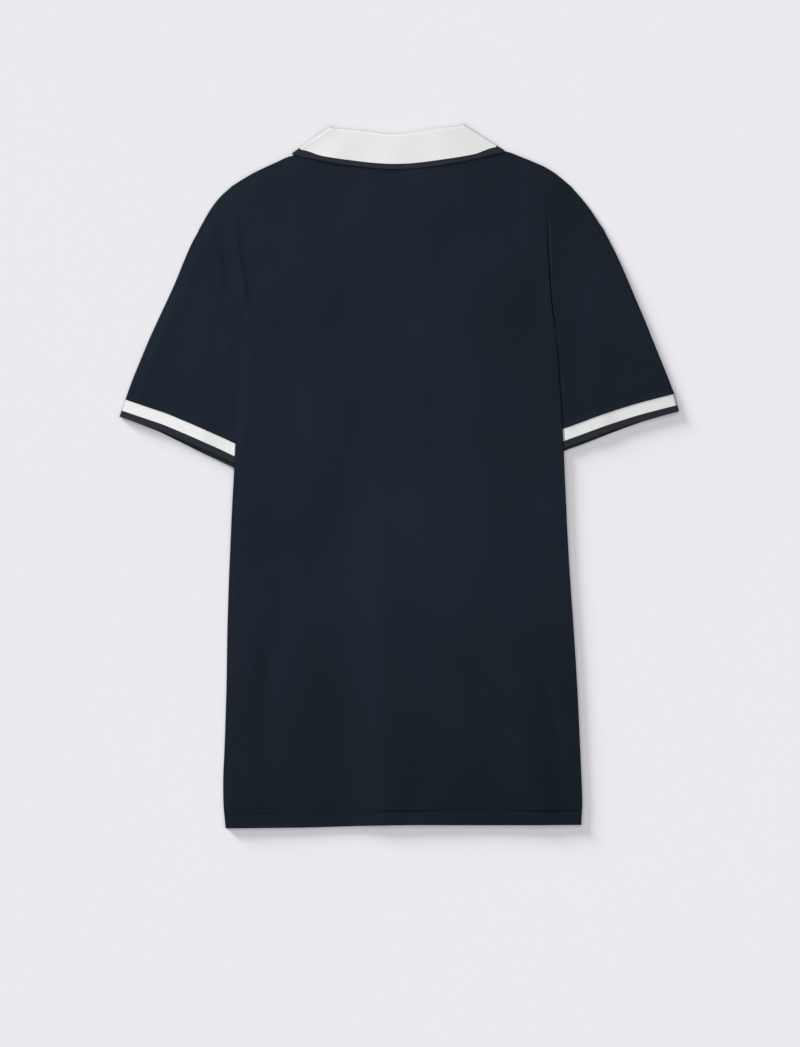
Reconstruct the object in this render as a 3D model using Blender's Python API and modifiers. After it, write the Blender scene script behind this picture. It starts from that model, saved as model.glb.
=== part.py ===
"""A short-sleeved polo shirt laid flat on a table with its back uppermost.

The sides of the body are folded in between its front and its back, so each side has four layers. The
sleeves are flattened tubes whose roots go in under the folded edge of the back. The collar is one knitted
strip: a stand, a roll line and a leaf that is folded down outside it, all round the neck. The placket, its
buttons and the collar's points are on the front, which is underneath.

Each piece of cloth is a grid of points along the middle of its wall, thickened to both sides. +X is to the
right with the back in view, +Y is towards the collar, and the shirt rests on Z = 0. The tables below are in
millimetres.
"""

import math

import bmesh
import bpy
import numpy as np

MM = 0.001

# Walls and clearances
CLOTH = 1.1 * MM
RIB = 1.3 * MM
GAP = 0.3 * MM
AIR = 0.4 * MM
LAYER = CLOTH + AIR
FOLD_RADIUS = LAYER / 2
FOLD_REACH = FOLD_RADIUS + CLOTH / 2
JOIN = 0.01 * MM

# Body: the half width as cut, and how the side folds narrow and end below the sleeves
HALF_CUT = 248 * MM
STUB = 6 * MM
FOLD_TOP = 167 * MM
FLAP_FULL = -45 * MM
FLAP_END = 6 * MM
CREASE_FROM = 150 * MM
CREASE_TOP = 271 * MM
CREASE_RUN = (3 * MM, 14 * MM)
STEP_END = 215 * MM
HEM = -372 * MM
HEM_EASE = -215 * MM
TOP_ROW = 309.4 * MM
BEND_FROM = 134 * MM

# Collar: radii of the stand, of the roll line and of the leaf where it turns from the back to the front
STAND_RADIUS = (RIB + GAP) / 2
ROLL_RADIUS = 1.15 * MM
LEAF_RADIUS = STAND_RADIUS + 2 * ROLL_RADIUS
NECK_MIDDLE = RIB / 2 + LEAF_RADIUS
TIPPING = 5.3 * MM
COLLAR_FRONT_CELLS = 7
COLLAR_BACK_CELLS = 12
# How far the leaf underneath raises the front and the back, and how far from it they come down
LEAF_LIFT = RIB + GAP
NECK_LIFT = NECK_MIDDLE - STAND_RADIUS + RIB / 2 + GAP - LAYER
FRONT_MARGIN = 18 * MM
BACK_MARGIN = 24 * MM
COLLAR_FADE = 44 * MM

# Placket and buttons, and how far from the placket the cloth that the buttons raise stays up and comes down
PLACKET_HALF = 14.9 * MM
NOTCH_HALF = PLACKET_HALF + GAP
PLACKET_TOP = 274 * MM
PLACKET_MARGIN = (4 * MM, 2 * MM)
PLACKET_FADE = (43 * MM, 36 * MM)
BACK_FADE = (66 * MM, 80 * MM)
BUTTON_RADIUS = 5.5 * MM
BUTTON_HEIGHT = 2.0 * MM
BUTTON_RIM = 1.1 * MM
BUTTON_DISH = 0.6 * MM
BUTTON_ROUND = 0.4 * MM
BUTTON_STEPS = 16
BUTTON_ROWS = (262 * MM, 212 * MM, 162 * MM)
BUTTON_LIFT = BUTTON_HEIGHT + GAP

# Sleeves and cuffs. The lower layer of a cuff slips down, within these parts of its width from the ends
SLEEVE_RINGS = 8
SEAM_OFFSET = 0.6 * MM
SLEEVE_PUFF = 1.2 * MM
# Where a sleeve comes down from the front to the table: how far from the body's edge and over what length,
# sideways and upwards
OVER_BODY = (30 * MM, 30 * MM)
OVER_ARMHOLE = (5 * MM, 33 * MM)
CUFF_WHITE = 12.3 * MM
CUFF_TIP = 6.0 * MM
CUFF_SLIP = 3.0 * MM
SLIP_RISE = 0.65
SLIP_FALL = 0.25


def table(names, rows):
    """The columns of a table by name, in metres."""
    return dict(zip(names.split(), np.array(rows, float).T * MM))


# Outer edge of the body, from the hem up the folded side
FOLD_EDGE = table("y left right", [
    (-372, -185.3, 192.8), (-355, -187.3, 193.9), (-323, -188.4, 193.2), (-291, -187.1, 191.8),
    (-227, -185.0, 188.8), (-163, -183.9, 184.9), (-100, -181.9, 180.5), (-52, -179.7, 177.8),
    (7, -176.8, 175.3), (58, -174.0, 173.1), (103, -170.2, 169.9), (135, -167.5, 167.7),
    (167, -164.5, 163.5)])
# Armhole seam, from the top of the side fold to the shoulder
ARMHOLE = table("y left right", [
    (167, -164.5, 163.5), (177, -168.5, 169.0), (190, -172.5, 172.5), (205, -178.0, 178.0),
    (222, -185.0, 184.5), (238, -191.5, 190.5), (251, -203.5, 203.0), (262, -214.5, 217.5)])
# Rounded end of the shoulder, above the armhole
SHOULDER_END = table("y left right", [
    (262, -214.5, 217.5), (271, -209.6, 211.2), (284, -202.0, 202.7), (297, -192.1, 192.5),
    (309.4, -178.7, 181.4)])
# Shoulder lines, from the shoulder's end to the neck
SHOULDER_LEFT = table("x y", [
    (-178.7, 309.4), (-157.7, 322.2), (-144.7, 328.6), (-131, 334.9), (-117.8, 340.8), (-109, 342.6),
    (-98, 347), (-87, 353)])
SHOULDER_RIGHT = table("x y", [
    (82, 355), (97, 348.8), (107, 345.4), (118, 343.6), (126.3, 341.3), (141.8, 334.9), (155.6, 328.6),
    (165.8, 322.2), (181.4, 309.4)])
# Neck edges of the back and the front panel
BACK_NECK = table("x y", [
    (-87, 353), (-70, 345.2), (-50, 338.5), (-25, 334.3), (-3, 333), (20, 334.6), (45, 339.5), (65, 346.5),
    (82, 355)])
FRONT_NECK = table("x y", [
    (-87, 353), (-84, 338), (-77, 321), (-60, 298), (-36, 282.5), (-15.2, 275.5), (0, 274.3), (15.2, 275.5),
    (36, 282.5), (58.5, 299), (73.5, 322), (79.5, 339), (82, 355)])
# Hem edge, which hangs a little lower at the left
HEM_EDGE = table("x y", [(-186, -373.7), (-100, -372.8), (-10, -370.4), (100, -370.3), (193, -370.0)])
# Grid line below each high point of the shoulder, and the crease that goes on above the side fold
NECK_LINE = table("y left right", [
    (-372, -105, 108), (-100, -100, 100), (134, -100, 100), (262, -91, 88), (309.4, -87, 82)])
CREASE = table("y left right", [
    (150, -166.1, 165.7), (160, -163, 162.5), (167, -161.5, 161), (205, -160.5, 160), (238, -157.5, 157),
    (262, -156, 155), (309.4, -150, 141.4)])
# Raised folds of the back: from one end to the other, half width and height
RIDGES = table("x0 y0 x1 y1 half height", [
    (-34, 20, -27, -366, 44, 3.0), (118, -160, 158, -350, 22, 1.5), (-156, -150, -154, -345, 18, 1.1),
    (-143, 296, -150, 190, 15, 0.9), (70, 120, 96, -120, 26, 0.9)])
# The part of its length over which a fold rises at each end
RIDGE_END = 0.25
# The turned-up hems raise the middle of the back, over this height above the edge
HEM_LIFT = 1.4 * MM
HEM_LIFT_REACH = 75 * MM

# Collar sections: roll line, neck seam and outer edge of the leaf, from the shoulder to the front's middle
COLLAR_COLUMNS = "roll_x roll_y seam_x seam_y edge_x edge_y"
COLLAR_LEFT = table(COLLAR_COLUMNS, [
    (-4, 287, -4, 275.6, -42, 226), (-29, 297.5, -35.4, 283.9, -71, 249), (-50, 315, -59.2, 299.4, -94, 277),
    (-64, 338, -76.0, 322.6, -107, 310), (-73, 369.5, -85.3, 355.5, -112.5, 343.8)])
COLLAR_BACK = table(COLLAR_COLUMNS, [
    (-73, 369.5, -85.3, 355.5, -112.5, 343.8), (-46, 367.3, -54, 340.6, -60, 332),
    (-3.5, 363, -3, 334.0, -3, 327.3), (41, 369.5, 48, 341.3, 57, 333.9),
    (65.8, 371.8, 80.3, 357.7, 107, 346.9)])
COLLAR_RIGHT = table(COLLAR_COLUMNS, [
    (65.8, 371.8, 80.3, 357.7, 107, 346.9), (59.5, 340, 72.5, 323.6, 103, 312),
    (48.5, 316, 57.7, 300.4, 92, 278), (28.5, 298, 35.4, 283.9, 70, 249.5), (4, 287, 4, 275.6, 42, 226)])
COLLAR_AREA = table("x y", [
    (-73, 370), (-112, 342), (-107, 310), (-94, 277), (-71, 249), (-42, 224), (42, 224), (70, 249), (92, 278),
    (103, 312), (107, 346), (66, 372)])

# Sleeves: outer edge, hidden end of the armhole, and the seam of the cuff from its outer to its hidden end
SLEEVE_EDGE = table("y left right", [
    (80, -293.2, 295.0), (102.8, -285.1, 286.5), (124.1, -276.4, 277.9), (145.4, -267.6, 269.2),
    (166.7, -257.9, 260.7), (188, -248.0, 251.5), (209.3, -238.4, 242.6), (230.6, -229.8, 233.3),
    (251.9, -220.2, 222.7), (262, -214.5, 217.5)])
HIDDEN_ARMHOLE = table("x y", [(155, 150), (141, 128), (128, 108)])
CUFF_LINE = {
    "left": table("x y", [
        (-292.4, 82.6), (-265.7, 73.5), (-246.5, 66.9), (-233.8, 61.6), (-221, 56.2), (-201.8, 47.7),
        (-189, 42.0), (-175.8, 35.8), (-132, 14)]),
    "right": table("x y", [
        (292.2, 88.6), (271, 83.2), (251.9, 78.1), (232.7, 72.2), (213.5, 65.8), (194.4, 58.8), (181.6, 54.1),
        (174.6, 51.6), (132, 35)])}
CUFF_VISIBLE_CELLS = 7
CUFF_HIDDEN_CELLS = 3

# Rows of the panels from the hem to the shoulders, and their columns as parts of the way between grid lines
ARMHOLE_ROWS = (167, 177, 190, 205, 222, 238, 251, 262)
ROWS = np.array((-372, -359, -320, -270, -215, -160, -110, -75, -45, -20, 6, 7, 45, 82, 112, 134, 150, 160)
                + ARMHOLE_ROWS + (273, 285, 297, 309.4)) * MM
BACK_INNER = np.array((0.17, 0.34, 0.52, 0.69, 0.86, 1.0))
BACK_OUTER = np.array((0.25, 0.5, 0.75, 1.0))
RAMP = (0.3, 0.97)
FRONT_INNER = np.array((0, 0.18, 0.37, 0.57, 0.74, 0.86, 0.94, 1.0))
FRONT_OUTER = np.array((0.14, 0.3, 0.5, 0.7, 0.87, 1.0))
TURN_STEPS = np.array((0.25, 0.5, 0.75))
BACK_FLAP = np.linspace(0, 1, 6)
FRONT_FLAP = np.linspace(0, 1, 4)

# Colours, as linear red, green and blue
NAVY = (0.012, 0.016, 0.025)
NAVY_RIB = (0.018, 0.023, 0.034)
WHITE = (0.78, 0.78, 0.79)
BUTTON_NAVY = (0.016, 0.020, 0.030)


def smooth(t):
    """Eases from 0 to 1 with level ends."""
    t = np.clip(t, 0, 1)
    return t * t * (3 - 2 * t)


def curve(at, xs, ys):
    """A smooth curve through the points (xs, ys), read at the places in `at`."""
    slopes = np.gradient(ys, xs)
    i = np.clip(np.searchsorted(xs, at) - 1, 0, len(xs) - 2)
    step = xs[i + 1] - xs[i]
    t = np.clip((at - xs[i]) / step, 0, 1)
    ends = (2 * t**3 - 3 * t**2 + 1) * ys[i] + (3 * t**2 - 2 * t**3) * ys[i + 1]
    return ends + ((t**3 - 2 * t**2 + t) * slopes[i] + (t**3 - t**2) * slopes[i + 1]) * step


def material(name, colour, roughness):
    """A material with a colour and a roughness, and no metal."""
    mat = bpy.data.materials.new(name)
    mat.use_nodes = True
    shader = mat.node_tree.nodes["Principled BSDF"]
    shader.inputs["Base Color"].default_value = (*colour, 1)
    shader.inputs["Roughness"].default_value = roughness
    shader.inputs["Metallic"].default_value = 0
    mat.diffuse_color = (*colour, 1)
    return mat


def wall(name, points, thickness, mat, ring=False, keep=None):
    """A wall of cloth: a grid of points along its middle, thickened by half to each side.

    A ring closes its rows on themselves. `keep` says which cells of the grid are cloth. Points in one place
    are joined into one.
    """
    rows, columns = points.shape[:2]
    index = np.arange(rows * columns).reshape(rows, columns)
    after = np.roll(index, -1, axis=1) if ring else index[:, 1:]
    before = index if ring else index[:, :-1]
    cells = np.stack([before[:-1], after[:-1], after[1:], before[1:]], axis=-1)
    if keep is not None:
        cells = cells[keep]
    cells = cells.reshape(-1, 4)
    used, faces = np.unique(cells, return_inverse=True)
    mesh = bpy.data.meshes.new(name)
    mesh.from_pydata(points.reshape(-1, 3)[used].tolist(), [], faces.reshape(-1, 4).tolist())
    joined = bmesh.new()
    joined.from_mesh(mesh)
    bmesh.ops.remove_doubles(joined, verts=joined.verts, dist=JOIN)
    joined.to_mesh(mesh)
    joined.free()
    mesh.shade_smooth()
    mesh.materials.append(mat)
    obj = bpy.data.objects.new(name, mesh)
    thicken = obj.modifiers.new("Thickness", "SOLIDIFY")
    thicken.thickness = thickness
    thicken.offset = 0
    thicken.use_even_offset = True
    return obj


def edge_x(y, side):
    """Outer edge of the body on one side at the height y of a grid row."""
    if y < FOLD_TOP:
        part = FOLD_EDGE
    elif y < ARMHOLE["y"][-1]:
        part = ARMHOLE
    else:
        part = SHOULDER_END
    return curve(y, part["y"], part[side])


def top_y(x, neck):
    """Upper edge of a panel: one shoulder line, the neck edge and the other shoulder line."""
    left = curve(x, SHOULDER_LEFT["x"], SHOULDER_LEFT["y"])
    right = curve(x, SHOULDER_RIGHT["x"], SHOULDER_RIGHT["y"])
    middle = curve(x, neck["x"], neck["y"])
    return np.where(x < neck["x"][0], left, np.where(x > neck["x"][-1], right, middle))


def row_y(x, y, neck):
    """Where a grid row runs: level over most of the body, bent along the hem, the shoulders and the neck."""
    left, right = edge_x(y, "left"), edge_x(y, "right")
    part = (x - left) / (right - left)
    top_x = edge_x(TOP_ROW, "left") * (1 - part) + edge_x(TOP_ROW, "right") * part
    bend = max(0, (y - BEND_FROM) / (TOP_ROW - BEND_FROM)) ** 2
    hem = smooth((HEM_EASE - y) / (HEM_EASE - HEM)) * (curve(x, HEM_EDGE["x"], HEM_EDGE["y"]) - HEM)
    return y + bend * (top_y(top_x, neck) - TOP_ROW) + hem


def collar_share(x, y, margin):
    """1 over the collar leaf that lies underneath and up to a margin round it, fading to 0 away from it."""
    corners = np.stack([COLLAR_AREA["x"], COLLAR_AREA["y"]], axis=-1)
    sides = np.roll(corners, -1, axis=0) - corners
    normals = np.stack([-sides[:, 1], sides[:, 0]], axis=-1) / np.linalg.norm(sides, axis=1)[:, None]
    points = np.stack([x, y], axis=-1)[..., None, :]
    outside = np.max(-np.sum((points - corners) * normals, axis=-1), axis=-1)
    return smooth(1 - (outside - margin) / COLLAR_FADE)


def placket_share(x, y, fade):
    """1 over the placket, fading to 0 at its sides and ends."""
    across = smooth(1 - (np.abs(x) - NOTCH_HALF - PLACKET_MARGIN[0]) / fade[0])
    below = smooth(1 - (BEND_FROM - PLACKET_MARGIN[1] - y) / fade[1])
    above = smooth(1 - (y - PLACKET_TOP - PLACKET_MARGIN[1]) / fade[1])
    return across * below * above


def front_lift(x, y):
    """How far the front is raised off the table by what lies under it."""
    placket = BUTTON_LIFT * placket_share(x, y, PLACKET_FADE)
    return np.maximum(LEAF_LIFT * collar_share(x, y, FRONT_MARGIN), placket)


def back_lift(x, y):
    """How far the back is raised by the same pieces and the second strip of the placket."""
    placket = (BUTTON_LIFT + LAYER) * placket_share(x, y, BACK_FADE)
    return np.maximum(NECK_LIFT * collar_share(x, y, BACK_MARGIN), placket)


def hem_lift(y, raised):
    """How far the hems raise the back at the height y, where the folded sides don't raise it already."""
    return HEM_LIFT * (1 - raised) * smooth(1 - (y - HEM) / HEM_LIFT_REACH)


def ridges(x, y):
    """Raised folds of the back: a rounded bank along each line of the table, fading out at its ends."""
    total = np.zeros_like(x)
    for x0, y0, x1, y1, half, height in zip(*RIDGES.values()):
        along = np.array((x1 - x0, y1 - y0))
        length = np.linalg.norm(along)
        along /= length
        at = ((x - x0) * along[0] + (y - y0) * along[1]) / length
        off = np.abs((y - y0) * along[0] - (x - x0) * along[1]) / half
        ends = smooth(np.minimum(at, 1 - at) / RIDGE_END)
        total += height * ends * np.cos(np.clip(off, 0, 1) * math.pi / 2) ** 2
    return total


def flap_width(y, edge):
    """Width of the side that is folded in, which narrows towards its end below the sleeve."""
    share = 1 - smooth((y - FLAP_FULL) / (FLAP_END - FLAP_FULL))
    return STUB + (HALF_CUT - abs(edge) - STUB) * share


def turn(x, outward, high, low):
    """Points round a folded edge, from its upper to its lower layer."""
    angles = TURN_STEPS * math.pi
    radius = (high - low) / 2
    return x + outward * radius * np.sin(angles), low + radius + radius * np.cos(angles)


def back_half(y, side):
    """One side of a section of the back: x, y and z of its points from the middle outwards.

    Below the sleeve it goes on round the fold. Beside the sleeve it ends at the edge, and above that it goes
    on past the crease to the armhole.
    """
    outward = -1 if side == "left" else 1
    edge = edge_x(y, side)
    folded = y < FLAP_END + GAP
    creased = y > CREASE_FROM + GAP
    neck_x = curve(y, NECK_LINE["y"], NECK_LINE[side])
    crease_x = curve(y, CREASE["y"], CREASE[side]) if creased else edge - outward * FOLD_REACH * folded
    x = np.concatenate([neck_x * BACK_INNER, neck_x + (crease_x - neck_x) * BACK_OUTER])
    raised = smooth((np.concatenate([BACK_INNER, np.ones(len(BACK_OUTER))]) - RAMP[0]) / (RAMP[1] - RAMP[0]))
    plan_y = row_y(x, y, BACK_NECK)
    fading = 1 - smooth((plan_y - FOLD_TOP) / (CREASE_TOP - FOLD_TOP))
    z = CLOTH / 2 + LAYER * (1 + 2 * raised * fading) + back_lift(x, plan_y) + ridges(x, plan_y)
    z += hem_lift(y, raised)
    if folded:
        low = CLOTH / 2 + LAYER * 2
        turn_x, turn_z = turn(crease_x, outward, z[-1], low)
        flap_x = crease_x - outward * flap_width(y, edge) * BACK_FLAP
        flap_z = np.full(len(BACK_FLAP), low)
    elif creased:
        run = curve(y, np.array((ARMHOLE_ROWS[0], ARMHOLE_ROWS[-1])) * MM, np.array(CREASE_RUN))
        run = min(run, abs(edge - crease_x) / 2)
        flap_x = crease_x + outward * run + (edge - crease_x - outward * run) * BACK_FLAP
        flap_y = row_y(flap_x, y, BACK_NECK)
        fall = 1 - smooth((y - FOLD_TOP) / (STEP_END - FOLD_TOP))
        flap_z = CLOTH / 2 + LAYER * (1 + 2 * fall) + back_lift(flap_x, flap_y) + ridges(flap_x, flap_y)
        turn_x = crease_x + outward * run * TURN_STEPS
        turn_z = z[-1] + (flap_z[0] - z[-1]) * smooth(TURN_STEPS)
    else:
        turn_x, turn_z = np.full(len(TURN_STEPS), crease_x), np.full(len(TURN_STEPS), z[-1])
        flap_x, flap_z = np.full(len(BACK_FLAP), crease_x), np.full(len(BACK_FLAP), z[-1])
    x = np.concatenate([x, turn_x, flap_x])
    return np.stack([x, row_y(x, y, BACK_NECK), np.concatenate([z, turn_z, flap_z])], axis=-1)


def side_cells(sections, fold_cells, kept):
    """Which cells of a panel are cloth: all but the outermost ones of the rows that are not kept."""
    keep = np.ones((len(ROWS) - 1, sections.shape[1] - 1), bool)
    keep[~kept, :fold_cells] = False
    keep[~kept, -fold_cells:] = False
    return keep


def back_panel(mat):
    """The back, from the fold of one side over to the other, with the folded-in sides below it."""
    sections = []
    for y in ROWS:
        x = np.zeros(1)
        plan_y = row_y(x, y, BACK_NECK)
        z = CLOTH / 2 + LAYER + back_lift(x, plan_y) + ridges(x, plan_y) + hem_lift(y, 0)
        middle = np.stack([x, plan_y, z], axis=-1)
        sections.append(np.concatenate([back_half(y, "left")[::-1], middle, back_half(y, "right")]))
    sections = np.array(sections)
    kept = (ROWS[1:] < FLAP_END + GAP) | (ROWS[:-1] > CREASE_FROM - GAP)
    keep = side_cells(sections, len(TURN_STEPS) + len(BACK_FLAP), kept)
    return wall("back_panel", sections, CLOTH, mat, keep=keep)


def front_half(y, side):
    """One side of a section of the front, from the placket outwards and round the side fold."""
    outward = -1 if side == "left" else 1
    edge = edge_x(y, side)
    neck_x = curve(y, NECK_LINE["y"], NECK_LINE[side])
    end_x = edge - outward * FOLD_REACH * (y < FLAP_END + GAP)
    first_x = outward * NOTCH_HALF
    x = np.concatenate([first_x + (neck_x - first_x) * FRONT_INNER, neck_x + (end_x - neck_x) * FRONT_OUTER])
    turn_x, turn_z = turn(end_x, outward, CLOTH / 2 + LAYER, CLOTH / 2)
    flap_x = end_x - outward * flap_width(y, edge) * FRONT_FLAP
    x = np.concatenate([x, turn_x, flap_x])
    plan_y = row_y(x, y, FRONT_NECK)
    z = CLOTH / 2 + front_lift(x, plan_y)
    z[-len(turn_x) - len(flap_x):] = np.concatenate([turn_z[::-1], np.full(len(flap_x), CLOTH / 2 + LAYER)])
    return np.stack([x, plan_y, z], axis=-1)


def front_panel(mat):
    """The front, which lies on the table, with a slot for the placket and the folded-in sides above it."""
    sections = np.array([np.concatenate([front_half(y, "left")[::-1], front_half(y, "right")]) for y in ROWS])
    keep = side_cells(sections, len(TURN_STEPS) + len(FRONT_FLAP), ROWS[1:] < FLAP_END + GAP)
    keep[ROWS[:-1] > BEND_FROM - GAP, sections.shape[1] // 2 - 1] = False
    return wall("front_panel", sections, CLOTH, mat, keep=keep)


def over_body(x, y, side):
    """1 where a sleeve lies over the front panel and just outside it, 0 where it lies on the table."""
    outward = -1 if side == "left" else 1
    body = np.array([edge_x(min(row, FOLD_TOP - GAP), side) for row in np.ravel(y)]).reshape(np.shape(y))
    outside = outward * (x - body)
    beside = 1 - smooth((outside - OVER_BODY[0]) / OVER_BODY[1])
    above = 1 - smooth((y - FOLD_TOP - OVER_ARMHOLE[0]) / OVER_ARMHOLE[1])
    return beside * above


def square_to(line, away):
    """Unit vectors square to a line at its points, on the side that `away` points to."""
    along = np.gradient(line, axis=0)
    normal = np.column_stack([-along[:, 1], along[:, 0]]) / np.linalg.norm(along, axis=1)[:, None]
    return normal * np.sign(normal @ np.array(away, float))[:, None]


def line_ends(line):
    """Unit vectors that point outwards at the two ends of a line."""
    first, last = line[0] - line[1], line[-1] - line[-2]
    return first / np.linalg.norm(first), last / np.linalg.norm(last)


def flat_ring(plan, ways, slip, side, puff):
    """A closed loop round a flattened tube: upper layer, folded edge, lower layer and the other folded edge.

    `plan` is the line across the tube in x and y, `ways` are the outward directions at its two folded edges,
    and `slip` moves the lower layer along the tube.
    """
    first, last = ways
    plan = plan.copy()
    plan[0] -= first * FOLD_REACH
    plan[-1] -= last * FOLD_REACH
    low = plan + slip
    low_z = CLOTH / 2 + LAYER * over_body(low[:, 0], low[:, 1], side)
    high_z = CLOTH / 2 + LAYER * (1 + over_body(plan[:, 0], plan[:, 1], side)) + puff
    upper = np.column_stack([plan, high_z])
    lower = np.column_stack([low, low_z])
    loops = [upper]
    for end, way in ((-1, last), (0, first)):
        a, b = upper[end], lower[end]
        if end == 0:
            a, b = b, a
        angles = TURN_STEPS[:, None] * math.pi
        centre, half = (a + b) / 2, (a - b) / 2
        side_way = np.array((*way, 0)) * abs(half[2])
        loops.append(centre + half * np.cos(angles) + side_way * np.sin(angles))
        if end == -1:
            loops.append(lower[::-1])
    return np.concatenate(loops)


def cuff_line(side):
    """Points along the seam of a cuff, from its outer end to its end inside the body."""
    line = CUFF_LINE[side]
    order = np.argsort(line["x"])
    xs, ys = line["x"][order], line["y"][order]
    visible = np.linspace(line["x"][0], line["x"][-2], CUFF_VISIBLE_CELLS + 1)
    hidden = np.linspace(line["x"][-2], line["x"][-1], CUFF_HIDDEN_CELLS + 1)[1:]
    x = np.concatenate([visible, hidden])
    points = np.column_stack([x, curve(x, xs, ys)])
    return points, square_to(points, (0, -1))


def slip_share(count):
    """How much of the lower layer's slip each point across the sleeve has: none at the two folded edges."""
    part = np.linspace(0, 1, count)
    return (smooth(part / SLIP_RISE) * smooth((1 - part) / SLIP_FALL))[:, None]


def sleeve(side, mat):
    """A flattened tube from the armhole seam to the seam of the cuff."""
    outward = -1 if side == "left" else 1
    seam_y = np.array(ARMHOLE_ROWS[::-1]) * MM
    seam = np.column_stack([curve(seam_y, ARMHOLE["y"], ARMHOLE[side]), seam_y])
    seam = seam + square_to(seam, (outward, -0.5)) * SEAM_OFFSET
    hidden = np.column_stack([outward * HIDDEN_ARMHOLE["x"], HIDDEN_ARMHOLE["y"]])
    start = np.concatenate([seam, hidden])
    end, down = cuff_line(side)
    end = end - down * GAP
    part = np.linspace(0, 1, SLEEVE_RINGS)
    edge_y = start[0, 1] + (end[0, 1] - start[0, 1]) * part
    near = np.column_stack([curve(edge_y, SLEEVE_EDGE["y"], SLEEVE_EDGE[side]), edge_y])
    near[0], near[-1] = start[0], end[0]
    far = start[-1] + (end[-1] - start[-1]) * part[:, None]
    v = part[:, None, None]
    u = np.linspace(0, 1, len(start))[None, :, None]
    ruled = (1 - v) * start + v * end + (1 - u) * near[:, None] + u * far[:, None]
    corners = (1 - v) * ((1 - u) * start[0] + u * start[-1]) + v * ((1 - u) * end[0] + u * end[-1])
    plan = ruled - corners
    shown = np.clip(np.linspace(0, 1, len(start)) * len(start) / len(ARMHOLE_ROWS), 0, 1)
    ways = list(zip(square_to(near, (outward, 1)), square_to(far, (-outward, 0))))
    ways[0] = line_ends(start)[0], ways[0][1]
    ways[-1] = line_ends(end)
    rings = []
    for row, line, way in zip(part, plan, ways):
        puff = SLEEVE_PUFF * np.sin(shown * math.pi) ** 2 * math.sin(row * math.pi)
        slip = down * CUFF_SLIP * slip_share(len(start)) * smooth(row)
        rings.append(flat_ring(line, way, slip, side, puff))
    return wall("sleeve_" + side, np.array(rings), CLOTH, mat, ring=True)


def cuff_band(name, side, first, last, mat):
    """A ring of knitted rib between two distances below the seam of the cuff."""
    line, down = cuff_line(side)
    slip = down * CUFF_SLIP * slip_share(len(line))
    rings = [flat_ring(line + down * at, line_ends(line), slip, side, 0) for at in (first, last)]
    return wall(name, np.array(rings), CLOTH, mat, ring=True)


def collar_stations(run, count):
    """Sections of the collar between the rows of one table, evenly spaced along it."""
    rows = len(run["roll_x"])
    at = np.linspace(0, rows - 1, count)
    return {name: curve(at, np.arange(rows, dtype=float), column) for name, column in run.items()}


def collar_run(stations, angle, leaf_from, leaf_to):
    """Points of the collar at some stations, turned by an angle from the back's side to the front's side.

    The stand rises from the neck seam to the roll line and the leaf goes on outside it. `leaf_from` and
    `leaf_to` are distances from the outer edge of the leaf. The stand and the roll are left out if
    `leaf_from` is given.
    """
    roll = np.column_stack([stations["roll_x"], stations["roll_y"]])
    seam = np.column_stack([stations["seam_x"], stations["seam_y"]])
    edge = np.column_stack([stations["edge_x"], stations["edge_y"]])
    leaf = edge - roll
    length = np.linalg.norm(leaf, axis=1)[:, None]
    down = leaf / length
    rise = (roll - seam) / np.linalg.norm(roll - seam, axis=1)[:, None]
    away = np.column_stack([down[:, 1], -down[:, 0]])
    away *= np.sign(np.sum(away * (roll + edge - 2 * np.array((0, TOP_ROW))), axis=1))[:, None]
    plan, radius = [], []
    if leaf_from is None:
        for part in (0, 0.5, 1):
            plan.append(seam + (roll - seam) * part)
            radius.append(STAND_RADIUS)
        for part in TURN_STEPS:
            over = rise * (1 - part) - down * part
            plan.append(roll + over * ROLL_RADIUS * math.sin(part * math.pi))
            radius.append(STAND_RADIUS + ROLL_RADIUS * (1 - math.cos(part * math.pi)))
        for part in (0, 0.33, 0.67, 1):
            plan.append(roll + down * (length - leaf_to) * part)
            radius.append(LEAF_RADIUS)
    else:
        for back in (leaf_from, leaf_to):
            plan.append(edge - down * back)
            radius.append(LEAF_RADIUS)
    plan = np.array(plan).transpose(1, 0, 2)
    radius = np.array(radius)[None, :]
    x = plan[..., 0] + radius * math.sin(angle) * away[:, :1]
    y = plan[..., 1] + radius * math.sin(angle) * away[:, 1:]
    z = NECK_MIDDLE + radius * math.cos(angle) + 0 * x
    return np.stack([x, y, z], axis=-1)


def collar_piece(name, leaf_from, leaf_to, mat):
    """The collar, or the coloured edge of its leaf, from one front end round the neck to the other."""
    left = collar_stations(COLLAR_LEFT, COLLAR_FRONT_CELLS + 1)
    back = collar_stations(COLLAR_BACK, COLLAR_BACK_CELLS + 1)
    right = collar_stations(COLLAR_RIGHT, COLLAR_FRONT_CELLS + 1)
    left_side = {key: value[-1:] for key, value in left.items()}
    right_side = {key: value[:1] for key, value in right.items()}
    parts = [collar_run(left, math.pi, leaf_from, leaf_to)]
    for part in TURN_STEPS[::-1]:
        parts.append(collar_run(left_side, part * math.pi, leaf_from, leaf_to))
    parts.append(collar_run(back, 0, leaf_from, leaf_to))
    for part in TURN_STEPS:
        parts.append(collar_run(right_side, part * math.pi, leaf_from, leaf_to))
    parts.append(collar_run(right, math.pi, leaf_from, leaf_to))
    return wall(name, np.concatenate(parts), RIB, mat)


def placket_strip(name, level, mat):
    """One of the two strips of the placket, which fill the slot of the front one above the other."""
    ys = np.linspace(BEND_FROM + GAP, PLACKET_TOP - GAP, 7)
    y, x = np.meshgrid(ys, np.array((-1, 0, 1)) * PLACKET_HALF, indexing="ij")
    z = CLOTH / 2 + front_lift(x, y) + level * LAYER
    return wall(name, np.stack([x, y, z], axis=-1), CLOTH, mat)


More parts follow.
